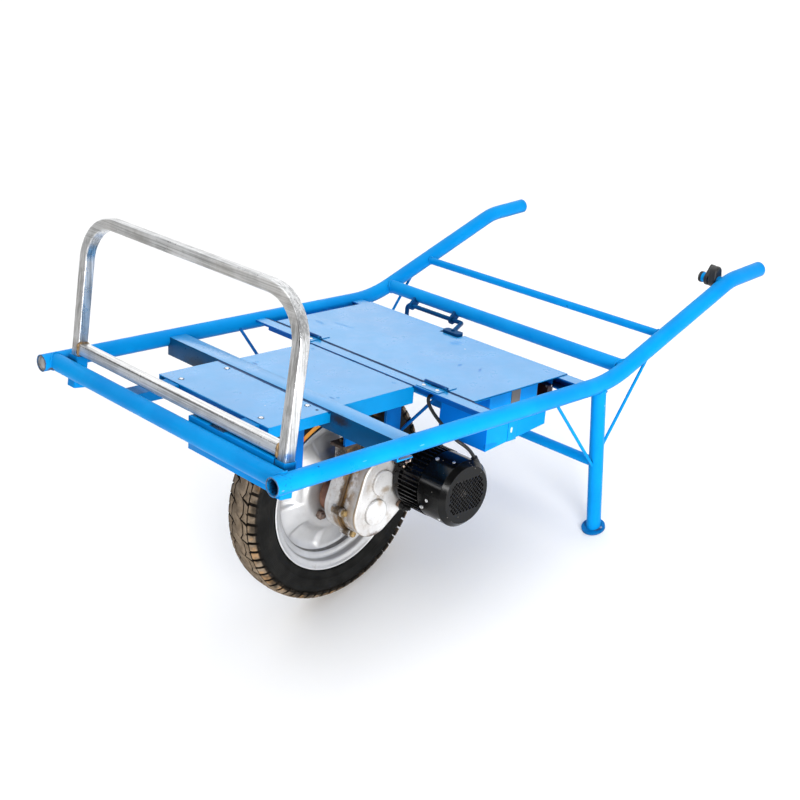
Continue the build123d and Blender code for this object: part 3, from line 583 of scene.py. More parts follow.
@dataclass(frozen=True)
class CastAluminium:
    """Raw cast aluminium with oil along the joint, a dirty rim line and brown stain."""

    name: str = "cast_aluminium"
    seam: float = 0.100
    rim: float = 0.1362
    oily: bool = True
    marks: tuple[Mark, ...] = ()

    def make(self) -> Material:
        """Builds the casting.

        Returns:
            The material.
        """
        t = new_tree(self.name)
        rounded = t.soft_edges(0.0035)
        pits = t.specks(330, 0.16, 0.32)
        smear = t.noise(22, 6, 0.7).over(0.52, 0.72) * 0.5
        colour = t.coats(
            t.mix(t.noise(16, 5).over(0.3, 0.7), (0.60, 0.59, 0.58), (0.84, 0.835, 0.83)),
            (t.recess(0.05).over(0.40, 0.95) * 0.6, (0.13, 0.11, 0.09)),  # shade
            (t.recess(0.008).over(0.25, 0.70) * 0.8, (0.045, 0.032, 0.022)),  # painted shade and dirt in corners
            (pits * 0.45, (0.26, 0.22, 0.18)),
            (smear, (0.34, 0.27, 0.19)),
        )
        wet = smear * 0.2
        if self.oily:
            away = (t.axis(1) - self.seam).maths("ABSOLUTE")
            from_rim = (t.axis(1) - self.rim).maths("ABSOLUTE")
            wander = away + (t.noise(42, 5, 0.7) - 0.5) * 0.012
            gold = (1.0 - wander.over(0.0020, 0.0105)) * t.noise(26, 5, 0.65).over(0.12, 0.34)
            weep = t.streaks((0.014, 0.030, 0.16), 0.42, 0.56) * (1.0 - away.over(0.006, 0.046)) * 0.9
            oil = t.mix(t.noise(60, 4).over(0.3, 0.65), (0.075, 0.036, 0.010), (0.33, 0.185, 0.055))
            crust = (1.0 - from_rim.over(0.0010, 0.0030)) * t.noise(34, 4).over(0.26, 0.48) * 0.85
            colour = t.coats(
                colour,
                (weep, oil),
                (gold, oil),
                ((1.0 - away.over(0.0003, 0.0009)) * 0.85, (0.035, 0.022, 0.012)),  # line of the joint
                (crust, (0.30, 0.215, 0.125)),
            )
            wet = gold.maths("MAXIMUM", weep)
        relief = t.noise(240, 4, 0.6) * 0.7 + t.noise(70, 3) * 0.5 - pits * 0.4
        return t.surface(
            Base_Color=t.marked(colour, self.marks)[0],
            Metallic=0.5 - wet * 0.45,
            Roughness=t.noise(70, 4).between(0.36, 0.54) - wet * 0.14,
            Normal=t.bump(relief, 0.30, 0.0008, rounded),
        )


@dataclass(frozen=True)
class BlackEnamel:
    """Deep gloss black enamel with a little dust and rubbed edges."""

    name: str = "black_enamel"
    base: Colour = (0.0022, 0.0023, 0.0024)
    gloss: float = 0.09

    def make(self) -> Material:
        """Builds the enamel.

        Returns:
            The material.
        """
        t = new_tree(self.name)
        rounded = t.soft_edges(0.0014)
        film = t.noise(20, 6, 0.7).over(0.55, 0.85) * 0.035
        rub = t.edges(rounded).over(0.05, 0.30) * t.noise(90, 4).over(0.52, 0.7)
        grit = t.specks(160, 0.05, 0.22)
        return t.surface(
            Base_Color=t.coats(
                self.base,
                (film, (0.10, 0.095, 0.09)),
                (rub * 0.3, (0.16, 0.16, 0.165)),
                (grit * 0.6, (0.22, 0.21, 0.19)),
            ),
            Roughness=t.noise(35, 4).between(self.gloss, self.gloss + 0.12) + film + grit * 0.3,
            Normal=t.bump(t.noise(180, 3), 0.08, 0.0006, rounded),
            Specular_IOR_Level=0.2,
        )


@dataclass(frozen=True)
class Moulded:
    """Moulded plastic or rubber with a fine grain."""

    name: str
    base: Colour
    worn: Colour
    gloss: float = 0.45
    marks: tuple[Mark, ...] = ()

    def make(self) -> Material:
        """Builds the moulding.

        Returns:
            The material.
        """
        t = new_tree(self.name)
        rounded = t.soft_edges(0.0008)
        rub = t.edges(rounded).over(0.03, 0.25) * t.noise(90, 4).over(0.45, 0.65)
        colour = t.coats(self.base, (t.noise(35, 5).over(0.4, 0.8), self.worn), (rub * 0.4, self.worn))
        return t.surface(
            Base_Color=t.marked(colour, self.marks)[0],
            Roughness=t.noise(60, 4).between(self.gloss - 0.06, self.gloss + 0.14),
            Normal=t.bump(t.noise(900, 2), 0.15, 0.0003, rounded),
        )


@dataclass(frozen=True)
class RustySteel:
    """Bare or primed steel under brown rust."""

    name: str
    pale: Colour
    dark: Colour
    bare: float = 0.25
    scale: float = 42.0

    def make(self) -> Material:
        """Builds the rust.

        Returns:
            The material.
        """
        t = new_tree(self.name)
        rounded = t.soft_edges(0.0009)
        clean = t.noise(70, 5, 0.6).over(0.58, 0.72) * self.bare
        brown = t.noise(self.scale, 6, 0.7).over(0.28, 0.72)
        return t.surface(
            Base_Color=t.coats(self.dark, (brown, self.pale), (clean, (0.42, 0.40, 0.38))),
            Metallic=clean * 0.8,
            Roughness=t.noise(80, 4).between(0.50, 0.80) - clean * 0.3,
            Normal=t.bump(t.noise(230, 5, 0.7), 0.35, 0.0008, rounded),
        )


class Body(Enum):
    """The moving groups that pieces ride on."""

    FRAME = "frame"
    WHEEL = "wheel"
    HOOP = "hoop"


@dataclass
class Workshop:
    """Holds the finishes and turns bmeshes into pieces."""

    nodes: dict[str, bpy.types.Object]
    finishes: dict[str, Material] = field(default_factory=dict)

    def finish(self, recipe: object) -> Material:
        """Makes a finish once.

        Args:
            recipe: a finish dataclass with a name and make method.

        Returns:
            The material.
        """
        if recipe.name not in self.finishes:
            self.finishes[recipe.name] = recipe.make()
        return self.finishes[recipe.name]

    def paint(self, recipe: object, *names: str) -> None:
        """Gives CAD nodes a finish.

        Args:
            recipe: the finish.
            names: the nodes.
        """
        for name in names:
            slots = self.nodes[name].data.materials
            slots.clear()
            slots.append(self.finish(recipe))

    def piece(
        self, bm: Shape, name: str, body: Body, slot: str, recipe: object, stands_for: str = "", crease: float = 35.0
    ) -> None:
        """Turns a bmesh in deck millimetres into a riding piece.

        Args:
            bm: the shape; freed here.
            name: the piece's name.
            body: what it rides on.
            slot: the record's material slot; not used.
            recipe: its finish.
            stands_for: CAD node that it replaces.
            crease: angle in degrees above which an edge stays sharp.
        """
        bm.transform(DECK)
        bmesh.ops.remove_doubles(bm, verts=bm.verts, dist=1e-6)
        bmesh.ops.recalc_face_normals(bm, faces=bm.faces)
        limit = math.radians(crease)
        for face in bm.faces:
            face.smooth = True
        for edge in bm.edges:
            edge.smooth = len(edge.link_faces) == 2 and edge.calc_face_angle(0.0) < limit
        mesh = bpy.data.meshes.new(name)
        bm.to_mesh(mesh)
        bm.free()
        self.settle(mesh, body, slot, recipe, stands_for)
        LOG.info("piece %s: %d faces", name, len(mesh.polygons))

    def settle(
        self, data: bpy.types.ID, body: Body, slot: str, recipe: object, stands_for: str = ""
    ) -> bpy.types.Object:
        """Args:
            data: the mesh or curve; the piece gets its name.
            body: what it rides on.
            slot: the record's material slot; not used.
            recipe: its finish.
            stands_for: CAD node that it replaces.

        Returns:
            The piece.
        """
        data.materials.append(self.finish(recipe))
        made = bpy.data.objects.new(data.name, data)
        bpy.context.scene.collection.objects.link(made)
        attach(made, body.value)
        if stands_for:
            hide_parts(stands_for)
        return made


def lathe(profile: Outline, centre: Point, axis: Point, steps: int, closed: bool = False) -> Shape:
    """Spins a profile of radius and height pairs about an axis.

    Args:
        profile: the section, in millimetres.
        centre: the point of height 0 on the axis, in deck millimetres.
        axis: direction of the axis.
        steps: facets round the turn.
        closed: true where the section is a loop.

    Returns:
        The turned shape in deck millimetres.
    """
    bm = bmesh.new()
    along = Vector(axis).normalized()
    across = along.orthogonal().normalized()
    verts = [bm.verts.new(Vector(centre) + across * r + along * h) for r, h in profile]
    pairs = list(zip(verts, verts[1:]))
    if closed:
        pairs.append((verts[-1], verts[0]))
    geom = [*verts, *(bm.edges.new(pair) for pair in pairs)]
    bmesh.ops.spin(bm, geom=geom, cent=centre, axis=along, angle=math.tau, steps=steps, use_merge=True)
    bmesh.ops.remove_doubles(bm, verts=bm.verts, dist=1e-4)
    return bm


def prism(outline: Outline, depth: float) -> Shape:
    """Extrudes a flat outline along Z.

    Args:
        outline: corner points.
        depth: height.

    Returns:
        The prism, standing on Z = 0.
    """
    bm = bmesh.new()
    face = bm.faces.new([bm.verts.new((u, v, 0.0)) for u, v in outline])
    top = bmesh.ops.extrude_face_region(bm, geom=[face])["geom"]
    bmesh.ops.translate(bm, verts=[g for g in top if isinstance(g, bmesh.types.BMVert)], vec=(0, 0, depth))
    bmesh.ops.recalc_face_normals(bm, faces=bm.faces)
    return bm


def round_edges(bm: Shape, width: float, segments: int = 2, test: Callable | None = None) -> None:
    """Bevels edges.

    Args:
        bm: the shape.
        width: bevel width.
        segments: bevel facets.
        test: picks the edges; all sharp ones without it.
    """
    chosen = [e for e in bm.edges if (test(e) if test else e.calc_face_angle(0.0) > 0.5)]
    how = dict(affect="EDGES", segments=segments, profile=0.5, material=-1, clamp_overlap=True)
    bmesh.ops.bevel(bm, geom=chosen, offset=width, **how)


def slice_at(bm: Shape, spot: Point, normal: Point) -> None:
    """Cuts a plane's line into all faces of a shape."""
    geom = [*bm.verts, *bm.edges, *bm.faces]
    bmesh.ops.bisect_plane(bm, geom=geom, dist=1e-4, plane_co=spot, plane_no=normal)


def join(target: Shape, part: Shape, place: Matrix | None = None) -> None:
    """Copies a shape into another.

    Args:
        target: the shape that grows.
        part: the shape that is copied; freed here.
        place: where the copy goes.
    """
    if place:
        part.transform(place)
    scratch = bpy.data.meshes.new("scratch")
    part.to_mesh(scratch)
    part.free()
    target.from_mesh(scratch)
    bpy.data.meshes.remove(scratch)


def hexagon_head(across: float, height: float, foot: Point, along: Point) -> tuple[Shape, Matrix]:
    """Six sided head with a chamfered top.

    Args:
        across: width over the flats.
        height: height of the head.
        foot: the deck point that it stands on.
        along: the way it stands.

    Returns:
        The head, standing on Z = 0, and its place.
    """
    bm = bmesh.new()
    radius = across / math.sqrt(3.0)
    bmesh.ops.create_cone(bm, cap_ends=True, segments=6, radius1=radius, radius2=radius, depth=height)
    bmesh.ops.translate(bm, verts=bm.verts, vec=(0, 0, height / 2))
    round_edges(bm, 0.7, 2, lambda e: all(v.co.z > height - 0.1 for v in e.verts))
    turn = Vector(along).to_track_quat("Z", "Y").to_matrix().to_4x4()
    return bm, Matrix.Translation(foot) @ turn


@dataclass
class Wheel:
    """The driven wheel: treaded tyre and pressed rim."""

    shop: Workshop
    groove: float = 6.0
    sunk: float = 1.5
    shoulder: float = 37.0
    wall_drop: float = 0.96  # fall of the radius for each millimetre past the shoulder
    wall_bulge: float = 2.7
    wall_curve: float = 4.0
    wall_lean: float = math.radians(80.0)
    lean_from: float = 26.0
    lean_over: float = 20.0
    pitches: int = 34
    bends: int = 5
    bend_lines: tuple[float, ...] = (32.0, 35.0, 37.0, 39.0, 42.0)
    half_turn: float = 2.24  # twice the place, in pitches, about which a row is turned half round
    disc: Span = (80.0, 132.0)
    dimples: int = 5
    dimple_turn: float = math.radians(-58.0)
    dimple_depth: float = 6.5
    dimple_shift: float = 0.40  # widens each pocket
    dimple_edge: float = 0.55  # softens its ends

    def crown_at(self, y: float) -> float:
        """Radius of the tread surface at a distance from the middle plane."""
        return CROWN - ARCH * y * y - EDGE_DROP * max(0.0, y - EDGE) ** 2

    def skin(self, run: float, depth: float) -> tuple[float, float]:
        """Point at a distance from the middle line over the tread and down the sidewall.

        Args:
            run: signed distance over the tyre's surface.
            depth: how far under the surface.

        Returns:
            Radius and Y.
        """
        flat = min(abs(run), self.shoulder)
        past = abs(run) - flat
        lean = self.wall_lean * ease((abs(run) - self.lean_from) / self.lean_over)
        radius = self.crown_at(flat) - self.wall_drop * past - depth * math.cos(lean)
        y = flat + self.wall_bulge * (1.0 - math.exp(-past / self.wall_curve)) - depth * math.sin(lean)
        return radius, math.copysign(y, run)

    def build(self) -> None:
        """Builds carcass, tread and rim."""
        self.build_carcass()
        self.build_tread()
        self.build_rim()

    def build_carcass(self) -> None:
        """Builds the tyre's body with rim guard and ringed sidewalls."""
        base = CROWN - self.groove
        half = [
            (base, 0), (base - 1.2, 15), (base - 4.4, 26), (base - 12, 34), (211.5, 37.6), (209, 39.1), (206.6, 38.6),
            (197, 39.6), (188, 39), (186.6, 39.7), (184.8, 39.5), (183.6, 38.4), (176, 36.8), (172.6, 37),
            (170.6, 36.2), (169.4, 34.4), (166.5, 32), (164.5, 29.5), (158, 28.6), (153.2, 27), (153.2, 18.5),
            (164, 24), (190, 31), (210, 30.5), (222, 18),
        ]
        section = half + [(222.6, 0)] + [(r, -y) for r, y in reversed(half[1:])]
        carcass = lathe(section, WHEEL, ACROSS, 160, closed=True)
        self.shop.piece(carcass, "tyre_carcass", Body.WHEEL, "tyre_rubber", TyreRubber(), "tyre", 60)

    def build_tread(self) -> None:
        """Builds the zigzag middle rib and the rows of blocks beside it; outlines are in pitches and millimetres."""
        p = math.tau * CROWN / self.pitches
        rib = [
            (0.62, 15.1), (0.70, 15.2), (0.955, 9.3), (0.86, 2.8), (0.995, 7.4), (1.03, 9.2), (1.10, 11.3),
            (1.22, 14.7), (1.62, 15.1),
        ]
        leaf = [
            (0.085, 13.6), (0.215, 18.3), (0.69, 18.8), (0.965, 13.2), (1.095, 26), (0.745, 26), (0.59, 20.9),
            (0.615, 26), (0.27, 26),
        ]
        lugs = [
            [(0.18, 29.4), (0.52, 29.4), (0.57, 38), (0.60, 47), (0.27, 47), (0.22, 38)],
            [(0.68, 29.4), (1.02, 29.4), (1.07, 38), (1.10, 45), (0.77, 45), (0.72, 38)],
        ]
        tread = bmesh.new()
        for row in (leaf, *lugs):
            for outline in (row, self.opposite(row)):
                self.wrap(tread, self.block([(u * p, y) for u, y in outline], p))
        middle = [(u * p, y) for u, y in rib + self.opposite(rib)]
        self.wrap(tread, self.block(middle, p, ends=(rib[0][0] * p, rib[-1][0] * p)))
        rubber = TyreRubber("tread_rubber", tread=True)
        self.shop.piece(tread, "tyre_tread", Body.WHEEL, "tyre_rubber", rubber, crease=50)

    def opposite(self, row: Outline) -> Outline:
        """The same outline on the other side, turned half round."""
        return [(self.half_turn - u, -y) for u, y in row]

    def block(self, outline: Outline, pitch: float, ends: tuple[float, ...] = ()) -> Shape:
        """Makes one flat block with eased top edges.

        Args:
            outline: the block's outline, as distance along the tread and Y.
            pitch: length of one repeat.
            ends: distances where the block runs on into the next one and stays open.

        Returns:
            The block, with its top at Z = groove + sunk.
        """
        bm = prism(outline, self.groove + self.sunk)
        low = min(u for u, _ in outline)
        for step in range(1, self.bends + 1):
            slice_at(bm, (low + step * pitch / self.bends, 0, 0), (1, 0, 0))
        for side in (-1, 1):
            for y in self.bend_lines:
                slice_at(bm, (0, side * y, 0), ACROSS)

        def at_end(items: Sequence[bmesh.types.BMVert]) -> bool:
            """True where all points lie on one open end."""
            return any(all(abs(v.co.x - end) < 1e-3 for v in items) for end in ends)

        def is_rim(edge: bmesh.types.BMEdge) -> bool:
            """True for the top edges that bound a side wall."""
            upper = all(v.co.z > 1.0 for v in edge.verts)
            return upper and edge.calc_face_angle(0.0) > 0.8 and not at_end(edge.verts)

        round_edges(bm, 0.7, 1, is_rim)
        bmesh.ops.delete(bm, geom=[f for f in bm.faces if at_end(f.verts)], context="FACES_ONLY")
        return bm

    def wrap(self, target: Shape, block: Shape) -> None:
        """Wraps one block round the crown at every pitch.

        Args:
            target: the shape that gets the blocks.
            block: the flat block; freed here.
        """
        for step in range(self.pitches):
            copy = block.copy()
            for vert in copy.verts:
                turn = step * math.tau / self.pitches - vert.co.x / CROWN
                radius, y = self.skin(vert.co.y, self.groove + self.sunk - vert.co.z)
                vert.co = (WHEEL[0] + radius * math.cos(turn), y, WHEEL[2] + radius * math.sin(turn))
            join(target, copy)
        block.free()
        bmesh.ops.remove_doubles(target, verts=target.verts, dist=0.01)

    def build_rim(self) -> None:
        """Builds the rim with pressed pockets round its disc."""
        front = [
            (34.2, 21.8), (60, 22), (68, 21.8), (73, 20.9), (78, 18.8), (84, 15.4), (90, 12.2), (96, 9.6), (102, 7.6),
            (108, 5.9), (114, 4.6), (120, 3.6), (126, 3), (131, 3.2), (133, 4.6), (134, 7), (134.6, 12), (137, 14.4),
            (143, 16.4), (147, 17.8), (148.4, 21), (148.9, 27.4), (150.4, 29.8), (154, 30.8), (157.5, 31.6),
            (160.5, 33.4), (162.6, 35.1), (164.6, 35.8), (165.9, 34.6), (165.7, 32.6), (163.6, 29.8), (158, 28.9),
            (152.7, 28),
        ]
        back = [
            (152.7, 17.2), (138.2, 11.2), (138.2, -11.2), (152.7, -17.2), (152.7, -28), (163.6, -29.8),
            (165.9, -34.6), (164.6, -35.8), (160, -33.2), (152, -30.8), (149, -29.4), (148, -18.2), (134, -13.6),
            (133.6, -1.6), (126, -1.2), (120, -0.7), (114, 0.3), (108, 1.6), (102, 3.3), (96, 5.3), (90, 7.9),
            (84, 11), (78, 14.4), (73, 17), (68, 18), (34.2, 18),
        ]
        rim = lathe(front + back, WHEEL, ACROSS, 180, closed=True)
        inner, outer = self.disc
        for vert in rim.verts:
            away = Vector((vert.co.x - WHEEL[0], 0, vert.co.z - WHEEL[2]))
            if inner < away.length < outer:
                turn = math.atan2(away.z, away.x) - self.dimple_turn
                rise = ease((math.cos(self.dimples * turn) + self.dimple_shift) / self.dimple_edge)
                ring = min(1.0, math.sin(math.pi * (away.length - inner) / (outer - inner)) * 1.5)
                vert.co.y -= self.dimple_depth * rise * ring
        self.shop.piece(rim, "rim_pressing", Body.WHEEL, "rim_silver", SilverRim(), "rim", 50)


@dataclass
class Welds:
    """Weld beads where tubes and bars meet."""

    shop: Workshop
    rail_r: float = 16.85
    bend_x: float = -875.0
    handle_slope: float = math.atan2(155.5, 400.0)
    front_tube: Point = (-28.0, 0.0, 16.85)  # X, Z and radius
    handle_tubes: tuple[Point, ...] = ((-926.0, 20.5, 15.2), (-1050.0, 68.0, 8.5))
    leg_r: float = 15.0
    leg_x: float = -844.4
    socket_x: float = -57.65
    bar_end: float = 299.4
    bar_middle: float = 32.5
    bar_half: float = 11.8
    bar_corner: float = 14.6
    hoop_lean: float = math.radians(6.2)
    frame_bead: float = 2.1
    hoop_bead: float = 2.6
    ripple: Span = (0.75, 1.2)
    round_steps: int = 28
    square_steps: int = 24
    seed: int = 11

    def build(self) -> None:
        """Builds the painted beads of the frame and the bare beads of the hoop."""
        rng = random.Random(self.seed)
        tubes = [(*self.front_tube, 0.0), *((*tube, self.handle_slope) for tube in self.handle_tubes)]
        painted: list[list[Vector]] = []
        for side in (-1, 1):
            painted += [self.saddle(*tube, side) for tube in tubes]
            painted.append(self.leg_ring(side))
        self.beads("frame_weld_beads", painted, self.frame_bead, rng, (Body.FRAME, "blue_paint", AzurePaint()))
        bare = [self.square_ring(side) for side in (-1, 1)]
        rust = RustySteel("weld_rust", (0.46, 0.28, 0.11), (0.020, 0.016, 0.013), 0.25, 170)
        self.beads("hoop_weld_beads", bare, self.hoop_bead, rng, (Body.HOOP, "galvanised", rust))

    def saddle(self, x: float, z: float, r: float, lean: float, side: int) -> list[Vector]:
        """Line where a cross tube meets a rail.

        Args:
            x: tube axis X.
            z: tube axis Z.
            r: tube radius.
            lean: slope of the rail there.
            side: 1 for left, -1 for right.

        Returns:
            The points in deck millimetres.
        """
        off = (z + (x - self.bend_x) * math.tan(lean)) * math.cos(lean)
        points = []
        for turn in self.turns(self.round_steps):
            reach = math.sqrt(max(self.rail_r**2 - (off + r * math.sin(turn - lean)) ** 2, 9.0))
            y = side * (RAIL_HALF - reach - 0.3)
            points.append(Vector((x + (r + 0.4) * math.cos(turn), y, z + (r + 0.4) * math.sin(turn))))
        return points

    def turns(self, count: int) -> list[float]:
        """Equal turns of one round."""
        return [math.tau * step / count for step in range(count)]

    def leg_ring(self, side: int) -> list[Vector]:
        """Line where a leg meets its rail.

        Args:
            side: 1 for left, -1 for right.

        Returns:
            The points in deck millimetres.
        """
        points = []
        for turn in self.turns(self.round_steps):
            dy = (self.leg_r + 0.3) * math.sin(turn)
            drop = math.sqrt(max(self.rail_r**2 - dy * dy, 4.0)) + 0.4
            points.append(Vector((self.leg_x + (self.leg_r + 0.3) * math.cos(turn), side * RAIL_HALF + dy, -drop)))
        return points

    def square_ring(self, side: int) -> list[Vector]:
        """Line round the end of the hoop's lower bar.

        Args:
            side: 1 for left, -1 for right.

        Returns:
            The points in deck millimetres.
        """
        tip = Matrix.Rotation(-self.hoop_lean, 4, "Y")
        foot = Vector((self.socket_x, side * self.bar_end, 0))
        points = []
        for turn in self.turns(self.square_steps):
            c, s = math.cos(turn), math.sin(turn)
            grow = min(self.bar_half / max(abs(c), abs(s)), self.bar_corner)
            points.append(foot + tip @ Vector((grow * c, 0, self.bar_middle + grow * s)))
        return points

    def beads(
        self, name: str, loops: list[list[Vector]], bead: float, rng: random.Random, dress: tuple[Body, str, object]
    ) -> None:
        """Makes one piece of closed beads.

        Args:
            name: the piece's name.
            loops: the bead lines in deck millimetres.
            bead: bead radius in millimetres.
            rng: spread of the ripples.
            dress: the body it rides on, the record's slot and the finish.
        """
        data = bpy.data.curves.new(name, "CURVE")
        data.dimensions = "3D"
        data.bevel_depth = bead * MM
        data.bevel_resolution = 2
        for loop in loops:
            spline = data.splines.new("POLY")
            spline.points.add(len(loop) - 1)
            spline.use_cyclic_u = True
            for point, place in zip(spline.points, loop):
                point.co = (*(DECK @ place), 1.0)
                point.radius = rng.uniform(*self.ripple)
        self.shop.settle(data, *dress)
        LOG.info("piece %s: %d beads", name, len(loops))


@dataclass
class MotorCable:
    """The black lead from the battery box to the motor."""

    shop: Workshop
    diameter: float = 0.007
    length: float = 0.2234
    route: tuple[Point, ...] = (
        (-586, 178, -8), (-531, 178, -8), (-524, 182, -22), (-528, 195, -41), (-530, 215, -55.6),
        (-532.4, 235, -68.3), (-537, 254, -81), (-550, 265, -91), (-570, 267, -110), (-576.5, 268, -121),
    )

    def build(self) -> None:
        """Builds the lead on one smooth curve."""
        data = bpy.data.curves.new("motor_lead", "CURVE")
        data.dimensions = "3D"
        data.bevel_depth = self.diameter / 2
        data.bevel_resolution = 6
        data.resolution_u = 16
        data.use_fill_caps = True
        spline = data.splines.new("NURBS")
        spline.points.add(len(self.route) - 1)
        for point, place in zip(spline.points, self.route):
            point.co = (*deck(*place), 1.0)
        spline.order_u = 3
        spline.use_endpoint_u = True
        rubber = Moulded("lead_rubber", (0.004, 0.004, 0.004), (0.014, 0.0135, 0.013), 0.42)
        lead = self.shop.settle(data, Body.FRAME, "black_rubber", rubber, "motor_cable")
        LOG.info("piece motor_lead: %.3f m", self.length)


@dataclass
class Fittings:
    """Small fittings: rail plug, box strap, motor ears with bolts, earth eye and shell screws."""

    shop: Workshop
    rail_bore: float = 14.25
    strap_x: Span = (-683.0, -657.0)
    strap_z: Span = (-104.0, 3.0)
    strap_wall: float = 0.9
    strap_hook: float = 16.0
    box_half: float = 279.0
    ear_turns: tuple[float, ...] = (-57, 33, 123, 213)
    ear_reach: float = 73.5
    ear_y: tuple[float, ...] = (148.6, 150.0, 150.3, 161.4)  # bolt head, washer, ear and nut
    nut_across: float = 12.0
    eye_turn: float = 42.5
    eye_reach: float = 71.2
    eye_y: float = 172.0
    shell_reach: float = 68.6
    shell_screws: tuple[Span, ...] = ((-7.4, 243), (73, 262), (-40, 266))  # turn and Y

    def build(self) -> None:
        """Builds each fitting."""
        self.rail_plug()
        self.box_strap()
        self.motor_ears()
        self.earth_eye()
        self.motor_screws()

    def rail_plug(self) -> None:
        """Closes the front end of the right rail with a pressed disc."""
        r = self.rail_bore - 0.1
        profile = [(0, -1.2), (r - 5, -1.6), (r - 2.2, -3.4), (r - 0.8, -1.4), (r, -2.2), (r, -9), (0, -9)]
        plug = lathe(profile, (0, -RAIL_HALF, 0), (1, 0, 0), 40)
        grey = Zinc("plug_zinc", (0.46, 0.46, 0.46), (0.20, 0.20, 0.20), gloss=0.34, rust=0.25)
        self.shop.piece(plug, "rail_plug", Body.FRAME, "galvanised", grey)

    def box_strap(self) -> None:
        """Folds a thin strap over the battery box's near wall."""
        (x0, x1), (low, top), y, w = self.strap_x, self.strap_z, self.box_half, self.strap_wall
        inner, outer, under = self.strap_hook - y, -y - w, top - w
        outline = [(inner, top), (outer, top), (outer, low), (-y, low), (-y, under), (inner, under)]
        strap = prism(outline, x1 - x0)
        strap.transform(Matrix(((0, 0, 1, x0), (-1, 0, 0, 0), (0, 1, 0, w), (0, 0, 0, 1))))
        round_edges(strap, 0.25)
        wear = as_marks(
            ((-670, y, -8), (30, 12, 26), (0.20, 0.185, 0.165)),
            ((-667, y, -80), (3, 6, 6.5), (0.72, 0.84, 0.90)),
        )
        paint = AzurePaint("azure_strap", base=(0.002, 0.33, 0.92), marks=wear, scratch=0.5)
        self.shop.piece(strap, "box_strap", Body.FRAME, "blue_paint", paint)

    def around_motor(self, turn: float, reach: float, y: float) -> Point:
        """Deck point at an angle, radius and width on the motor."""
        a = math.radians(turn)
        return (MOTOR[0] + reach * math.cos(a), y, MOTOR[2] + reach * math.sin(a))

    def motor_ears(self) -> None:
        """Adds four bolted ears round the motor flange."""
        ears, bolts = bmesh.new(), bmesh.new()
        ring = [(0, 0), (8.6, 0), (9.4, 0.8), (9.4, 10.2), (8.6, 11), (0, 11)]
        washer = [(0, 0), (8, 0), (8, -1.4), (0, -1.4)]
        stud = [(0, 0), (3.6, 0), (3.6, 12.5), (2.8, 13.4), (0, 13.4)]
        for turn in self.ear_turns:
            head, ahead, spot, nut = (self.around_motor(turn, self.ear_reach, y) for y in self.ear_y)
            join(ears, lathe(ring, spot, ACROSS, 24))
            join(bolts, lathe(washer, ahead, ACROSS, 20))
            join(bolts, *hexagon_head(self.nut_across, 6.5, head, (0, -1, 0)))
            join(ears, *hexagon_head(self.nut_across, 7.5, nut, ACROSS))
            join(ears, lathe(stud, nut, ACROSS, 14))
        self.shop.piece(ears, "motor_ears", Body.FRAME, "black_enamel", BlackEnamel())
        rusty = RustySteel("bolt_rust", (0.42, 0.27, 0.18), (0.10, 0.055, 0.035), 0.55, 90)
        self.shop.piece(bolts, "motor_ear_bolts", Body.FRAME, "zinc_steel", rusty)

    def earth_eye(self) -> None:
        """Adds the open ring terminal on the motor's fins."""
        turn = math.radians(self.eye_turn)
        out = Vector((math.cos(turn), 0.0, math.sin(turn)))
        tangent = Vector((math.sin(turn), 0.0, -math.cos(turn)))
        foot = Vector(self.around_motor(self.eye_turn, self.eye_reach, self.eye_y))
        eye = lathe([(3.4, 0), (6.6, 0), (7.2, 0.8), (6.6, 1.6), (3.4, 1.6)], foot, out, 28, closed=True)
        shank = [(0, 0), (2.4, 0), (2.9, 1), (2.9, 5.5), (2.3, 7), (2.9, 8.5), (2.9, 12), (0, 12)]
        join(eye, lathe(shank, foot + tangent * 6.4 + out * 0.9, tangent, 16))
        copper = Zinc("tinned_copper", (0.92, 0.72, 0.58), (0.50, 0.34, 0.24), gloss=0.24, rust=0.1)
        self.shop.piece(eye, "earth_eye", Body.FRAME, "zinc_steel", copper)

    def motor_screws(self) -> None:
        """Adds the screws on the motor's shell."""
        screws = bmesh.new()
        head = [(0, -1), (3.4, -1), (3.4, 0.9), (2.4, 1.8), (0, 2.1)]
        for spin, y in self.shell_screws:
            a = math.radians(spin)
            spot = self.around_motor(spin, self.shell_reach, y)
            join(screws, lathe(head, spot, (math.cos(a), 0, math.sin(a)), 18))
        self.shop.piece(screws, "motor_shell_screws", Body.FRAME, "zinc_steel", Zinc("screw_zinc", gloss=0.18))


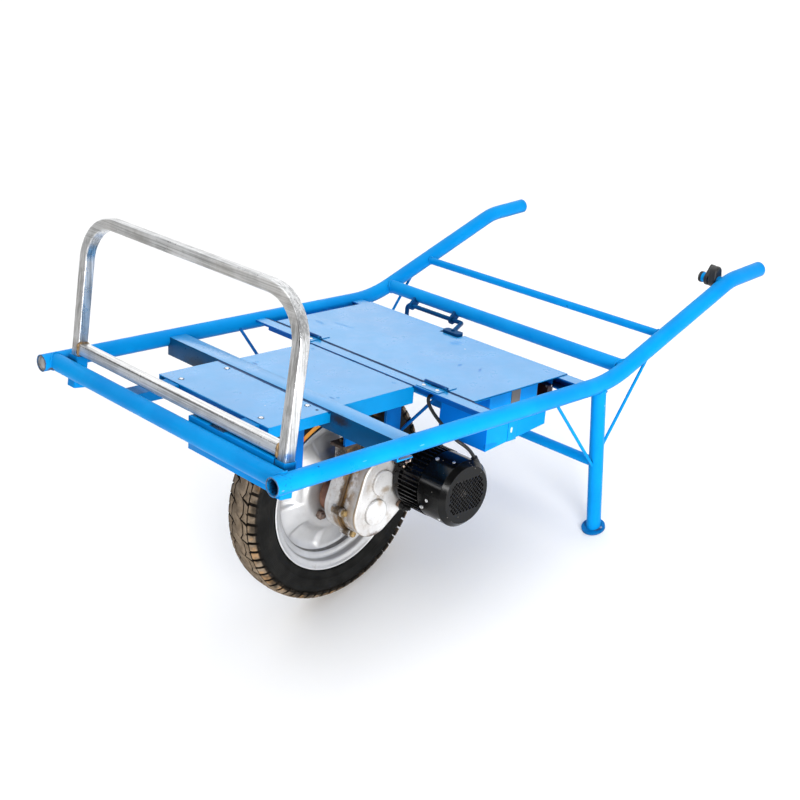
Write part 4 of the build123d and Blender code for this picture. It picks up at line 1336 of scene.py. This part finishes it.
@dataclass
class DeckFittings:
    """Front angle plate, cover lip, front channel and screws of the deck."""

    shop: Workshop
    plate_x: float = -44.85
    plate_wall: float = 3.0
    plate_y: Span = (65.0, 296.8)
    plate_z: Span = (-43.0, 19.0)
    shelf: float = 36.0
    shelf_wall: float = 2.0
    notch: Span = (121.0, 163.0)
    channel_x: Span = (-327.0, -287.0)
    channel_z: Span = (-33.0, 7.0)
    channel_end: float = 341.0
    channel_wall: float = 3.0
    cover_front: float = -143.2
    lip_y: Span = (-146.0, 163.0)
    lip_z: Span = (-13.0, 4.0)
    lip_wall: float = 1.5
    hinge_screw_x: float = -525.5
    hinge_screw_gap: float = 18.0
    hinge_top: float = 8.4

    def build(self) -> None:
        """Builds each fitting."""
        self.front_angle()
        self.cover_lip()
        self.front_channel()
        self.screws()

    def front_angle(self) -> None:
        """Builds the plate behind the front tube with its top edge folded back under the hoop."""
        x1, (z0, z1), (low, high) = self.plate_x, self.plate_z, self.notch
        x0 = x1 - self.plate_wall
        back, under = x0 - self.shelf, z1 - self.shelf_wall
        plate = self.along_y([(x1, z0), (x1, z1), (back, z1), (back, under), (x0, under), (x0, z0)], self.plate_y)
        for y in self.notch:
            slice_at(plate, (0, y, 0), ACROSS)
        middles = {face: face.calc_center_median() for face in plate.faces}
        cut = [face for face, spot in middles.items() if low < spot.y < high and spot.x < x0 - 1.0]
        bmesh.ops.delete(plate, geom=cut, context="FACES")
        bmesh.ops.holes_fill(plate, edges=[e for e in plate.edges if e.is_boundary], sides=8)
        round_edges(plate, 0.5)
        paint = AzurePaint("azure_angle", recess_shade_strength=0.2, base=(0.0012, 0.30, 0.84))
        self.shop.piece(plate, "front_angle", Body.FRAME, "blue_paint", paint, "front_plate")

    def cover_lip(self) -> None:
        """Folds the front cover's front edge down."""
        x1, (z0, z1) = self.cover_front, self.lip_z
        x0 = x1 - self.lip_wall
        lip = self.along_y([(x1, z0), (x1, z1), (x0, z1), (x0, z0)], self.lip_y)
        round_edges(lip, 0.4)
        # the lip is painted dark navy as painted shade under the cover's front edge
        paint = AzurePaint("azure_lip_shaded", base=(0.001, 0.10, 0.36), deep=(0.001, 0.07, 0.27))
        self.shop.piece(lip, "front_cover_lip", Body.FRAME, "blue_paint", paint)

    def front_channel(self) -> None:
        """Builds the front channel, its web to the front, up to both rails."""
        (x0, x1), (z0, z1), w = self.channel_x, self.channel_z, self.channel_wall
        outside = [(x1, z0), (x1, z1), (x0, z1)]
        inside = [(x0, z1 - w), (x1 - w, z1 - w), (x1 - w, z0 + w), (x0, z0 + w)]
        bar = self.along_y([*outside, *inside, (x0, z0)], (-self.channel_end, self.channel_end))
        round_edges(bar, 0.8)
        # two dark patches on the web, brown-black and navy
        dark_patches = as_marks(
            ((x1, 190, -4), (10, 34, 14), (0.022, 0.016, 0.014), 0, 0.85, 0.9),
            ((x1, -232, -28), (10, 66, 24), (0.001, 0.022, 0.052), 0, 0.85, 0.9),
        )
        shade = (0.0012, 0.034, 0.100)
        paint = AzurePaint("azure_channel_front", scratch=0.35, front=shade, marks=dark_patches, **SHEET_LOOK)
        self.shop.piece(bar, "front_channel_bar", Body.FRAME, "blue_paint", paint, "front_channel")

    def along_y(self, section: Outline, ends: Span) -> Shape:
        """Runs an X and Z section along Y.

        Args:
            section: corner points in X and Z.
            ends: where it starts and ends.

        Returns:
            The bar in deck millimetres.
        """
        bar = prism([(x, -z) for x, z in section], ends[1] - ends[0])
        bar.transform(Matrix(((1, 0, 0, 0), (0, 0, 1, ends[0]), (0, -1, 0, 0), (0, 0, 0, 1))))
        return bar

    def screws(self) -> None:
        """Builds recessed pan heads on the front cover and hinges, and flush painted heads on the rear cover."""
        pan = [(0, 0.9), (1.1, 1), (1.7, 2), (3.2, 1.6), (4.1, 0.7), (4.2, 0), (4.2, -1), (0, -1)]
        low = [(0, 0.25), (1.2, 0.3), (1.6, 0.5), (3.6, 0.45), (4.4, 0), (4.4, -1), (0, -1)]
        x, z, gap = self.hinge_screw_x, self.hinge_top, self.hinge_screw_gap
        hinges = [(x, y + dy, z) for y in (-HINGE_HALF, HINGE_HALF) for dy in (-gap, gap)]
        bright, flush = bmesh.new(), bmesh.new()
        for spot in FRONT_SCREWS + hinges:
            join(bright, lathe(pan, spot, (0, 0, 1), 20))
        for spot in REAR_SCREWS:
            join(flush, lathe(low, spot, (0, 0, 1), 20))
        zinc = Zinc("bright_screws", (0.92, 0.92, 0.92), (0.60, 0.60, 0.60), gloss=0.24)
        self.shop.piece(bright, "cover_screws", Body.FRAME, "zinc_steel", zinc, "deck_screws")
        paint = AzurePaint("azure_rivet", **SHEET_LOOK)
        self.shop.piece(flush, "rear_cover_screws", Body.FRAME, "blue_paint", paint)


@dataclass
class Dressing:
    """Gives the CAD nodes their finishes."""

    shop: Workshop

    def build(self) -> None:
        """Paints every node that stays in view."""
        for recipe, nodes in (*self.tubes(), *self.sheets(), *self.metal_work(), *self.dark_work()):
            self.shop.paint(recipe, *nodes.split())
        LOG.info("finishes on CAD nodes: %d", len(self.shop.finishes))

    def tubes(self) -> list[Look]:
        """Paint of tubes, bars and the catch.

        Returns:
            Finishes with their nodes.
        """
        rails = as_marks(
            ((-320, 366, 1.2), (6, 6, 1.2), (0.18, 0.55, 0.9), 0, 0.5),
            ((-185, 366, 4.9), (5, 6, 0.9), (0.14, 0.50, 0.9), 0, 0.4),
            ((-9, 366, -2.5), (3, 8, 1.4), (0.22, 0.25, 0.28), 0, 0.8),
            ((0, 350, 0), (1.6, 19, 19), (0.13, 0.12, 0.12), 0, 0.9),
            ((0, -350, 0), (2.2, 19, 19), (0.10, 0.085, 0.08), 0, 0.95),
            ((-852, 336, -158), (9, 5, 12), (0.05, 0.06, 0.07), 0, 0.7),
            # painted shade inside the open end of the near rail
            ((-20, 350, 0), (50, 15.3, 15.3), (0.010, 0.012, 0.015)),
            ((-10, -330, -12), (7, 9, 7), (0.09, 0.07, 0.06)),
        )
        sockets = as_marks(
            ((-44, 158, 8), (3, 9, 4), NAVY, 0, 0.6),
            ((-44, 186, 2), (3, 7, 3), NAVY, 0, 0.7),
            ((-44, 262, 14), (3, 8, 2), NAVY, 0, 0.7),
        )
        pads = as_marks(
            ((-884, 357, -325), (16, 14, 5), (0.16, 0.16, 0.165), 0, 0.9),
            ((-889, 366, -322), (4, 5, 4), (0.70, 0.74, 0.78), 0, 0.8),
            # painted shade round the leg's foot on the pad
            ((-888, 350, -326), (27, 24, 4), (0.001, 0.05, 0.17), 0, 0.7, 0.3),
        )
        tubes = "left_rail right_rail front_crossbar rear_lower_crossbar rear_upper_crossbar left_leg right_leg"
        return [
            (AzurePaint(marks=rails), tubes + " leg_tie throttle_stub"),
            (AzurePaint("azure_bar", marks=sockets), "hoop_sockets leg_braces right_hanger axle_bearing"),
            (AzurePaint("azure_shaded", (0.001, 0.21, 0.56), (0.001, 0.15, 0.44)), "front_wheel_bars rear_wheel_bars"),
            (AzurePaint("azure_pad", (0.001, 0.23, 0.60), (0.001, 0.12, 0.36), marks=pads), "foot_pads"),
            # the catch is painted dark navy as painted shade
            (AzurePaint("azure_catch_shaded", (0.0008, 0.075, 0.26), (0.0006, 0.030, 0.10)), "catch_lugs lid_catch"),
            # the hangers and stays are painted darker as painted shade
            (AzurePaint("azure_hanger_shaded", (0.001, 0.14, 0.48), (0.001, 0.09, 0.34)), "left_hangers hanger_stays"),
        ]

    def sheets(self) -> list[Look]:
        """Paint of channels, hinges, lid, covers and box.

        Returns:
            Finishes with their nodes.
        """
        # painted shadow line along the hinge bar
        gap = as_marks(((-541, 0, 7), (4.4, 700, 9), GAP_SHADOW, 0, 1, 0.3))
        knuckles = as_marks(*(((-541, y, 12.5), (5.5, 45, 5), NAVY) for y in (-HINGE_HALF, HINGE_HALF)))
        lid = as_marks(
            ((-675.6, 121.8, 7), (7, 4, 6), (0.03, 0.22, 0.58), 20, 0.8),
            ((-688, 165.6, 7), (11, 2.6, 6), (0.03, 0.20, 0.55), 30, 0.8),
            ((-773, 18, 7), (16, 12, 6), (0.05, 0.30, 0.72), 0, 0.5),
            # painted shadow line along the lid's front edge
            ((-543, 0, 7), (3.4, 700, 9), GAP_SHADOW, 0, 1, 0.3),
            ((-650, -202, 7), (5, 30, 6), (0.05, 0.27, 0.62), 8, 0.5),
            ((-620, -248, 7), (6, 18, 6), (0.05, 0.27, 0.62), -12, 0.5),
        )
        cover = as_marks(
            # an empty screw hole painted as a dark spot of shade
            ((-269.7, 146.8, 6), (3.4, 3.4, 6), (0.004, 0.01, 0.03)),
            ((-208.3, 1.5, 6), (2, 2.6, 6), (0.01, 0.10, 0.34)),
            ((-333.5, -113, 6), (2.6, 9, 6), (0.02, 0.16, 0.45)),
            ((-326.6, -21.4, 6), (3, 12, 6), (0.02, 0.16, 0.45)),
            ((-334, 116, 6), (2.4, 8, 6), (0.03, 0.20, 0.50)),
            # painted shadow lines along the rear edges of the front and rear covers
            ((-285, 0, 6), (6, 400, 6), (0.001, 0.045, 0.15), 0, 1, 0.3),
            ((-511, 0, 6), (5.4, 400, 6), (0.001, 0.045, 0.15), 0, 1, 0.3),
            # painted shade rings round the front cover's screw heads
            *((spot, (6.6, 6.6, 6), (0.003, 0.03, 0.09)) for spot in FRONT_SCREWS),
        )
        box = as_marks(((-600, 279, -100), (30, 6, 6), (0.004, 0.14, 0.5), 0, 0.5))
        # the hinge bar and rear channel get painted shade on their forward faces
        channel = dict(scratch=0.35, front=(0.0015, 0.10, 0.46), marks=gap)
        hinges = "frame_hinge_leaves lid_hinge_leaves"
        return [
            (AzurePaint("azure_channel", **channel, **SHEET_LOOK), "hinge_bar rear_channel"),
            (AzurePaint("azure_hinge", marks=knuckles, **SHEET_LOOK), hinges),
            (AzurePaint("azure_lid", marks=lid, **SHEET_LOOK), "lid"),
            (AzurePaint("azure_cover", marks=cover, **SHEET_LOOK), "front_cover rear_cover"),
            # the box gets painted shade on its forward faces
            (AzurePaint("azure_box", (0.0015, 0.33, 0.90), front=(0.0015, 0.21, 0.84), marks=box), "battery_box"),
        ]

    def metal_work(self) -> list[Look]:
        """Finishes of zinc, cast, rusty and plated nodes.

        Returns:
            Finishes with their nodes.
        """
        hoop = as_marks(
            ((-52, 324, 30), (16, 8, 7), (0.06, 0.26, 0.58), 0, 0.7, 0.8),
            ((-60, -311, 38), (16, 16, 22), (0.20, 0.115, 0.055), 0, 0.6, 0.9),
        )
        bar = as_marks(
            # painted reflection: dark line along the top front corner
            ((-50.2, 0, 42.6), (2.6, 520, 2.6), (0.10, 0.10, 0.10), 0, 0.85, 0.6),
            # painted shade along the lower front edge
            ((-48.4, 0, 22.4), (4, 520, 2.2), (0.07, 0.075, 0.085), 0, 0.9, 0.6),
        )
        oil, housing_shadow = (0.050, 0.030, 0.012), (0.030, 0.024, 0.019)
        casting = as_marks(
            ((-462, 146, -204), (17, 10, 9), (0.36, 0.25, 0.14), 0, 0.75, 1),
            ((-450, 146, -226), (10, 10, 16), (0.42, 0.29, 0.15), 0, 0.7, 1),
            ((-447, 136, -303), (34, 18, 11), (0.10, 0.06, 0.035), 0, 0.9, 0.8),
            ((-423, 128, -190), (14, 16, 34), (0.42, 0.31, 0.19), 0, 0.6, 1),
            ((-384, 100, -247), (24, 17, 24), oil, 0, 0.95, 0.8),
            ((-411, 100, -299), (26, 17, 24), oil, 0, 0.95, 0.8),
            ((-392, 88, -272), (20, 12, 34), (0.22, 0.125, 0.040), 0, 0.8, 1),
            *(((x, 141.5, z), (29, 3.6, 29), (0.20, 0.145, 0.09), 0, 0.75, 0.5) for x, _, z in (WHEEL, COUNTER)),
            # painted shadow on the tops of the housings under the deck
            ((-415, 81, -140), (34, 34, 50), housing_shadow, 0, 1, 0.6),
            ((-518, 81, -134), (34, 34, 40), housing_shadow, 0, 1, 0.6),
        )
        drawn = dict(grain=(0.003, 0.16, 0.003), front_face_shade=0.1, marks=bar)
        plated = Zinc("plated_steel", (0.62, 0.60, 0.56), (0.26, 0.24, 0.22), gloss=0.32, rust=0.35)
        return [
            (
                Zinc("hoop_zinc", (0.72, 0.73, 0.74), (0.30, 0.305, 0.31), across_above=0.815, front_face_shade=0.34, marks=hoop),
                "hoop",
            ),
            (Zinc("bar_zinc", (0.80, 0.81, 0.82), (0.44, 0.445, 0.45), **drawn), "hoop_lower_bar"),
            (plated, "axle countershaft idler_gear drain_plug"),
            (RustySteel("lug_brass", (0.40, 0.27, 0.10), (0.03, 0.020, 0.012), 0.3, 70), "gearbox_bolts"),
            (RustySteel("nut_rust", (0.27, 0.19, 0.15), (0.06, 0.035, 0.025), 0.5, 90), "wheel_nuts"),
            (Zinc("motor_screw_zinc", gloss=0.24), "motor_screws"),
            # the mount plate is painted near-black: rust with painted shade
            (RustySteel("plate_rust_shaded", (0.075, 0.05, 0.035), (0.02, 0.015, 0.012), 0.1), "mount_plate"),
            (RustySteel("hub_oxide", (0.36, 0.175, 0.115), (0.17, 0.075, 0.05), 0.1, 24), "hub"),
            (CastAluminium(marks=casting), "gearbox_housing gearbox_cover"),
            (CastAluminium("controller_casting", oily=False), "controller"),
            (RustySteel("core_plates", (0.16, 0.14, 0.12), (0.05, 0.045, 0.04), 0.5), "motor_stator rotor"),
        ]

    def dark_work(self) -> list[Look]:
        """Finishes of black, rubber and red nodes.

        Returns:
            Finishes with their nodes.
        """
        wiring = as_marks(
            ((-797, 262, -12), (3.4, 34, 6), (0.17, 0.006, 0.012), 14, 0.95, 0.5),
            ((-776, 270, -12), (2.6, 3, 5), (0.42, 0.41, 0.39), 0, 0.9, 0.5),
            ((-787, 274, -12), (2.2, 2.6, 5), (0.62, 0.60, 0.56), 0, 0.9, 0.5),
            ((-796, 274, -20), (6, 3, 2.4), (0.36, 0.30, 0.22), 0, 0.8, 0.6),
        )
        plastic = Moulded("black_plastic", (0.010, 0.010, 0.011), (0.040, 0.039, 0.038))
        return [
            (BlackEnamel(), "motor_flange motor_body fan_cover"),
            (plastic, "fan cable_glands throttle_clamp throttle_lever"),
            (Moulded("cap_rubber", (0.010, 0.010, 0.010), (0.035, 0.034, 0.033), 0.6), "stub_cap"),
            (Moulded("battery_case", (0.035, 0.037, 0.040), (0.10, 0.10, 0.10), 0.5), "batteries"),
            (Moulded("red_caps", (0.030, 0.004, 0.006), (0.006, 0.006, 0.006), 0.4, wiring), "terminal_caps"),
        ]


@dataclass
class Studio:
    """Floor, light and camera."""

    lens: float = 59.6915
    place: Point = (1.51178, 1.81493, 1.8924)
    right: Point = (-0.691214, 0.696767, -0.191672)
    up: Point = (-0.522169, -0.298211, 0.799005)
    aim: Point = (0.1, 0.0, 0.4)
    floor_half: float = 30.0
    floor_drop: float = 0.0006
    floor_glow: float = 0.10
    behind: Point = (-0.80, -0.56, 0.22)
    dome_base: float = 0.03
    dome_behind: float = 1.1
    dome_above: float = 1.4
    horizon: float = 0.50

    def build(self) -> None:
        """Builds the studio."""
        self.floor()
        self.dome()
        self.lamp("side", (1.1, 2.7, 1.0), 70.0, 1.2)
        self.lamp("front", (3.2, 0.2, 0.5), 8.0, 1.6)
        self.lamp("window", (2.15, -1.52, 1.80), 6.0, 0.6, shine_only=True)
        self.camera()

    def floor(self) -> None:
        """Lays a wide pale floor."""
        bm = bmesh.new()
        bmesh.ops.create_grid(bm, x_segments=1, y_segments=1, size=self.floor_half)
        mesh = bpy.data.meshes.new("studio_floor")
        bm.to_mesh(mesh)
        bm.free()
        white = (0.92, 0.92, 0.92)
        glow = dict(Emission_Color=white, Emission_Strength=self.floor_glow)
        mesh.materials.append(new_tree("studio_floor").surface(Base_Color=white, Roughness=0.9, **glow))
        made = bpy.data.objects.new("studio_floor", mesh)
        made.location.z = -self.floor_drop
        bpy.context.scene.collection.objects.link(made)

    def dome(self) -> None:
        """Sets a white dome, bright behind and above the barrow, paler low down and dim elsewhere."""
        world = bpy.data.worlds.new("studio_dome")
        t = NodeTree(world, "Generated")
        behind = t.dot(t.place, self.behind).over(0.15, 0.75)
        above = t.axis(2).over(0.62, 0.88)
        low = 1.0 - t.axis(2).maths("ABSOLUTE").over(0.05, 0.40)
        strength = behind * self.dome_behind + above * self.dome_above + low * self.horizon + self.dome_base
        sky = t.tree.nodes["Background"]
        t.feed(sky.inputs["Strength"], strength)
        t.feed(sky.inputs["Color"], (1.0, 1.0, 1.0))
        bpy.context.scene.world = world

    def lamp(self, name: str, place: Point, power: float, size: float, shine_only: bool = False) -> None:
        """Adds one area lamp that faces the object.

        Args:
            name: the lamp's name.
            place: where it hangs.
            power: watts.
            size: edge length.
            shine_only: true for a lamp that is only seen as a reflection.
        """
        data = bpy.data.lights.new(name, "AREA")
        data.energy = power
        data.size = size
        made = bpy.data.objects.new(name, data)
        made.location = place
        made.visible_diffuse = not shine_only
        made.rotation_euler = (Vector(self.aim) - Vector(place)).to_track_quat("-Z", "Y").to_euler()
        bpy.context.scene.collection.objects.link(made)

    def camera(self) -> None:
        """Places the camera at the photograph's angle."""
        data = bpy.data.cameras.new("camera")
        data.lens = self.lens
        data.sensor_width = 36.0
        data.clip_start = 0.05
        data.clip_end = 60.0
        right, up = Vector(self.right), Vector(self.up)
        turn = Matrix((right, up, right.cross(up))).transposed().to_4x4()
        made = bpy.data.objects.new("camera", data)
        made.matrix_world = Matrix.Translation(self.place) @ turn
        bpy.context.scene.collection.objects.link(made)
        bpy.context.scene.camera = made
        bpy.context.scene.view_settings.view_transform = "Standard"


def main() -> None:
    """Builds the barrow's looks and the studio."""
    logging.basicConfig(level=logging.INFO, format="%(message)s")
    Studio().build()
    shop = Workshop(frame["nodes"])
    for assembly in (MotorCable, Dressing, Wheel, Welds, Fittings, DeckFittings):
        assembly(shop).build()


if __name__ == "__main__":
    main()
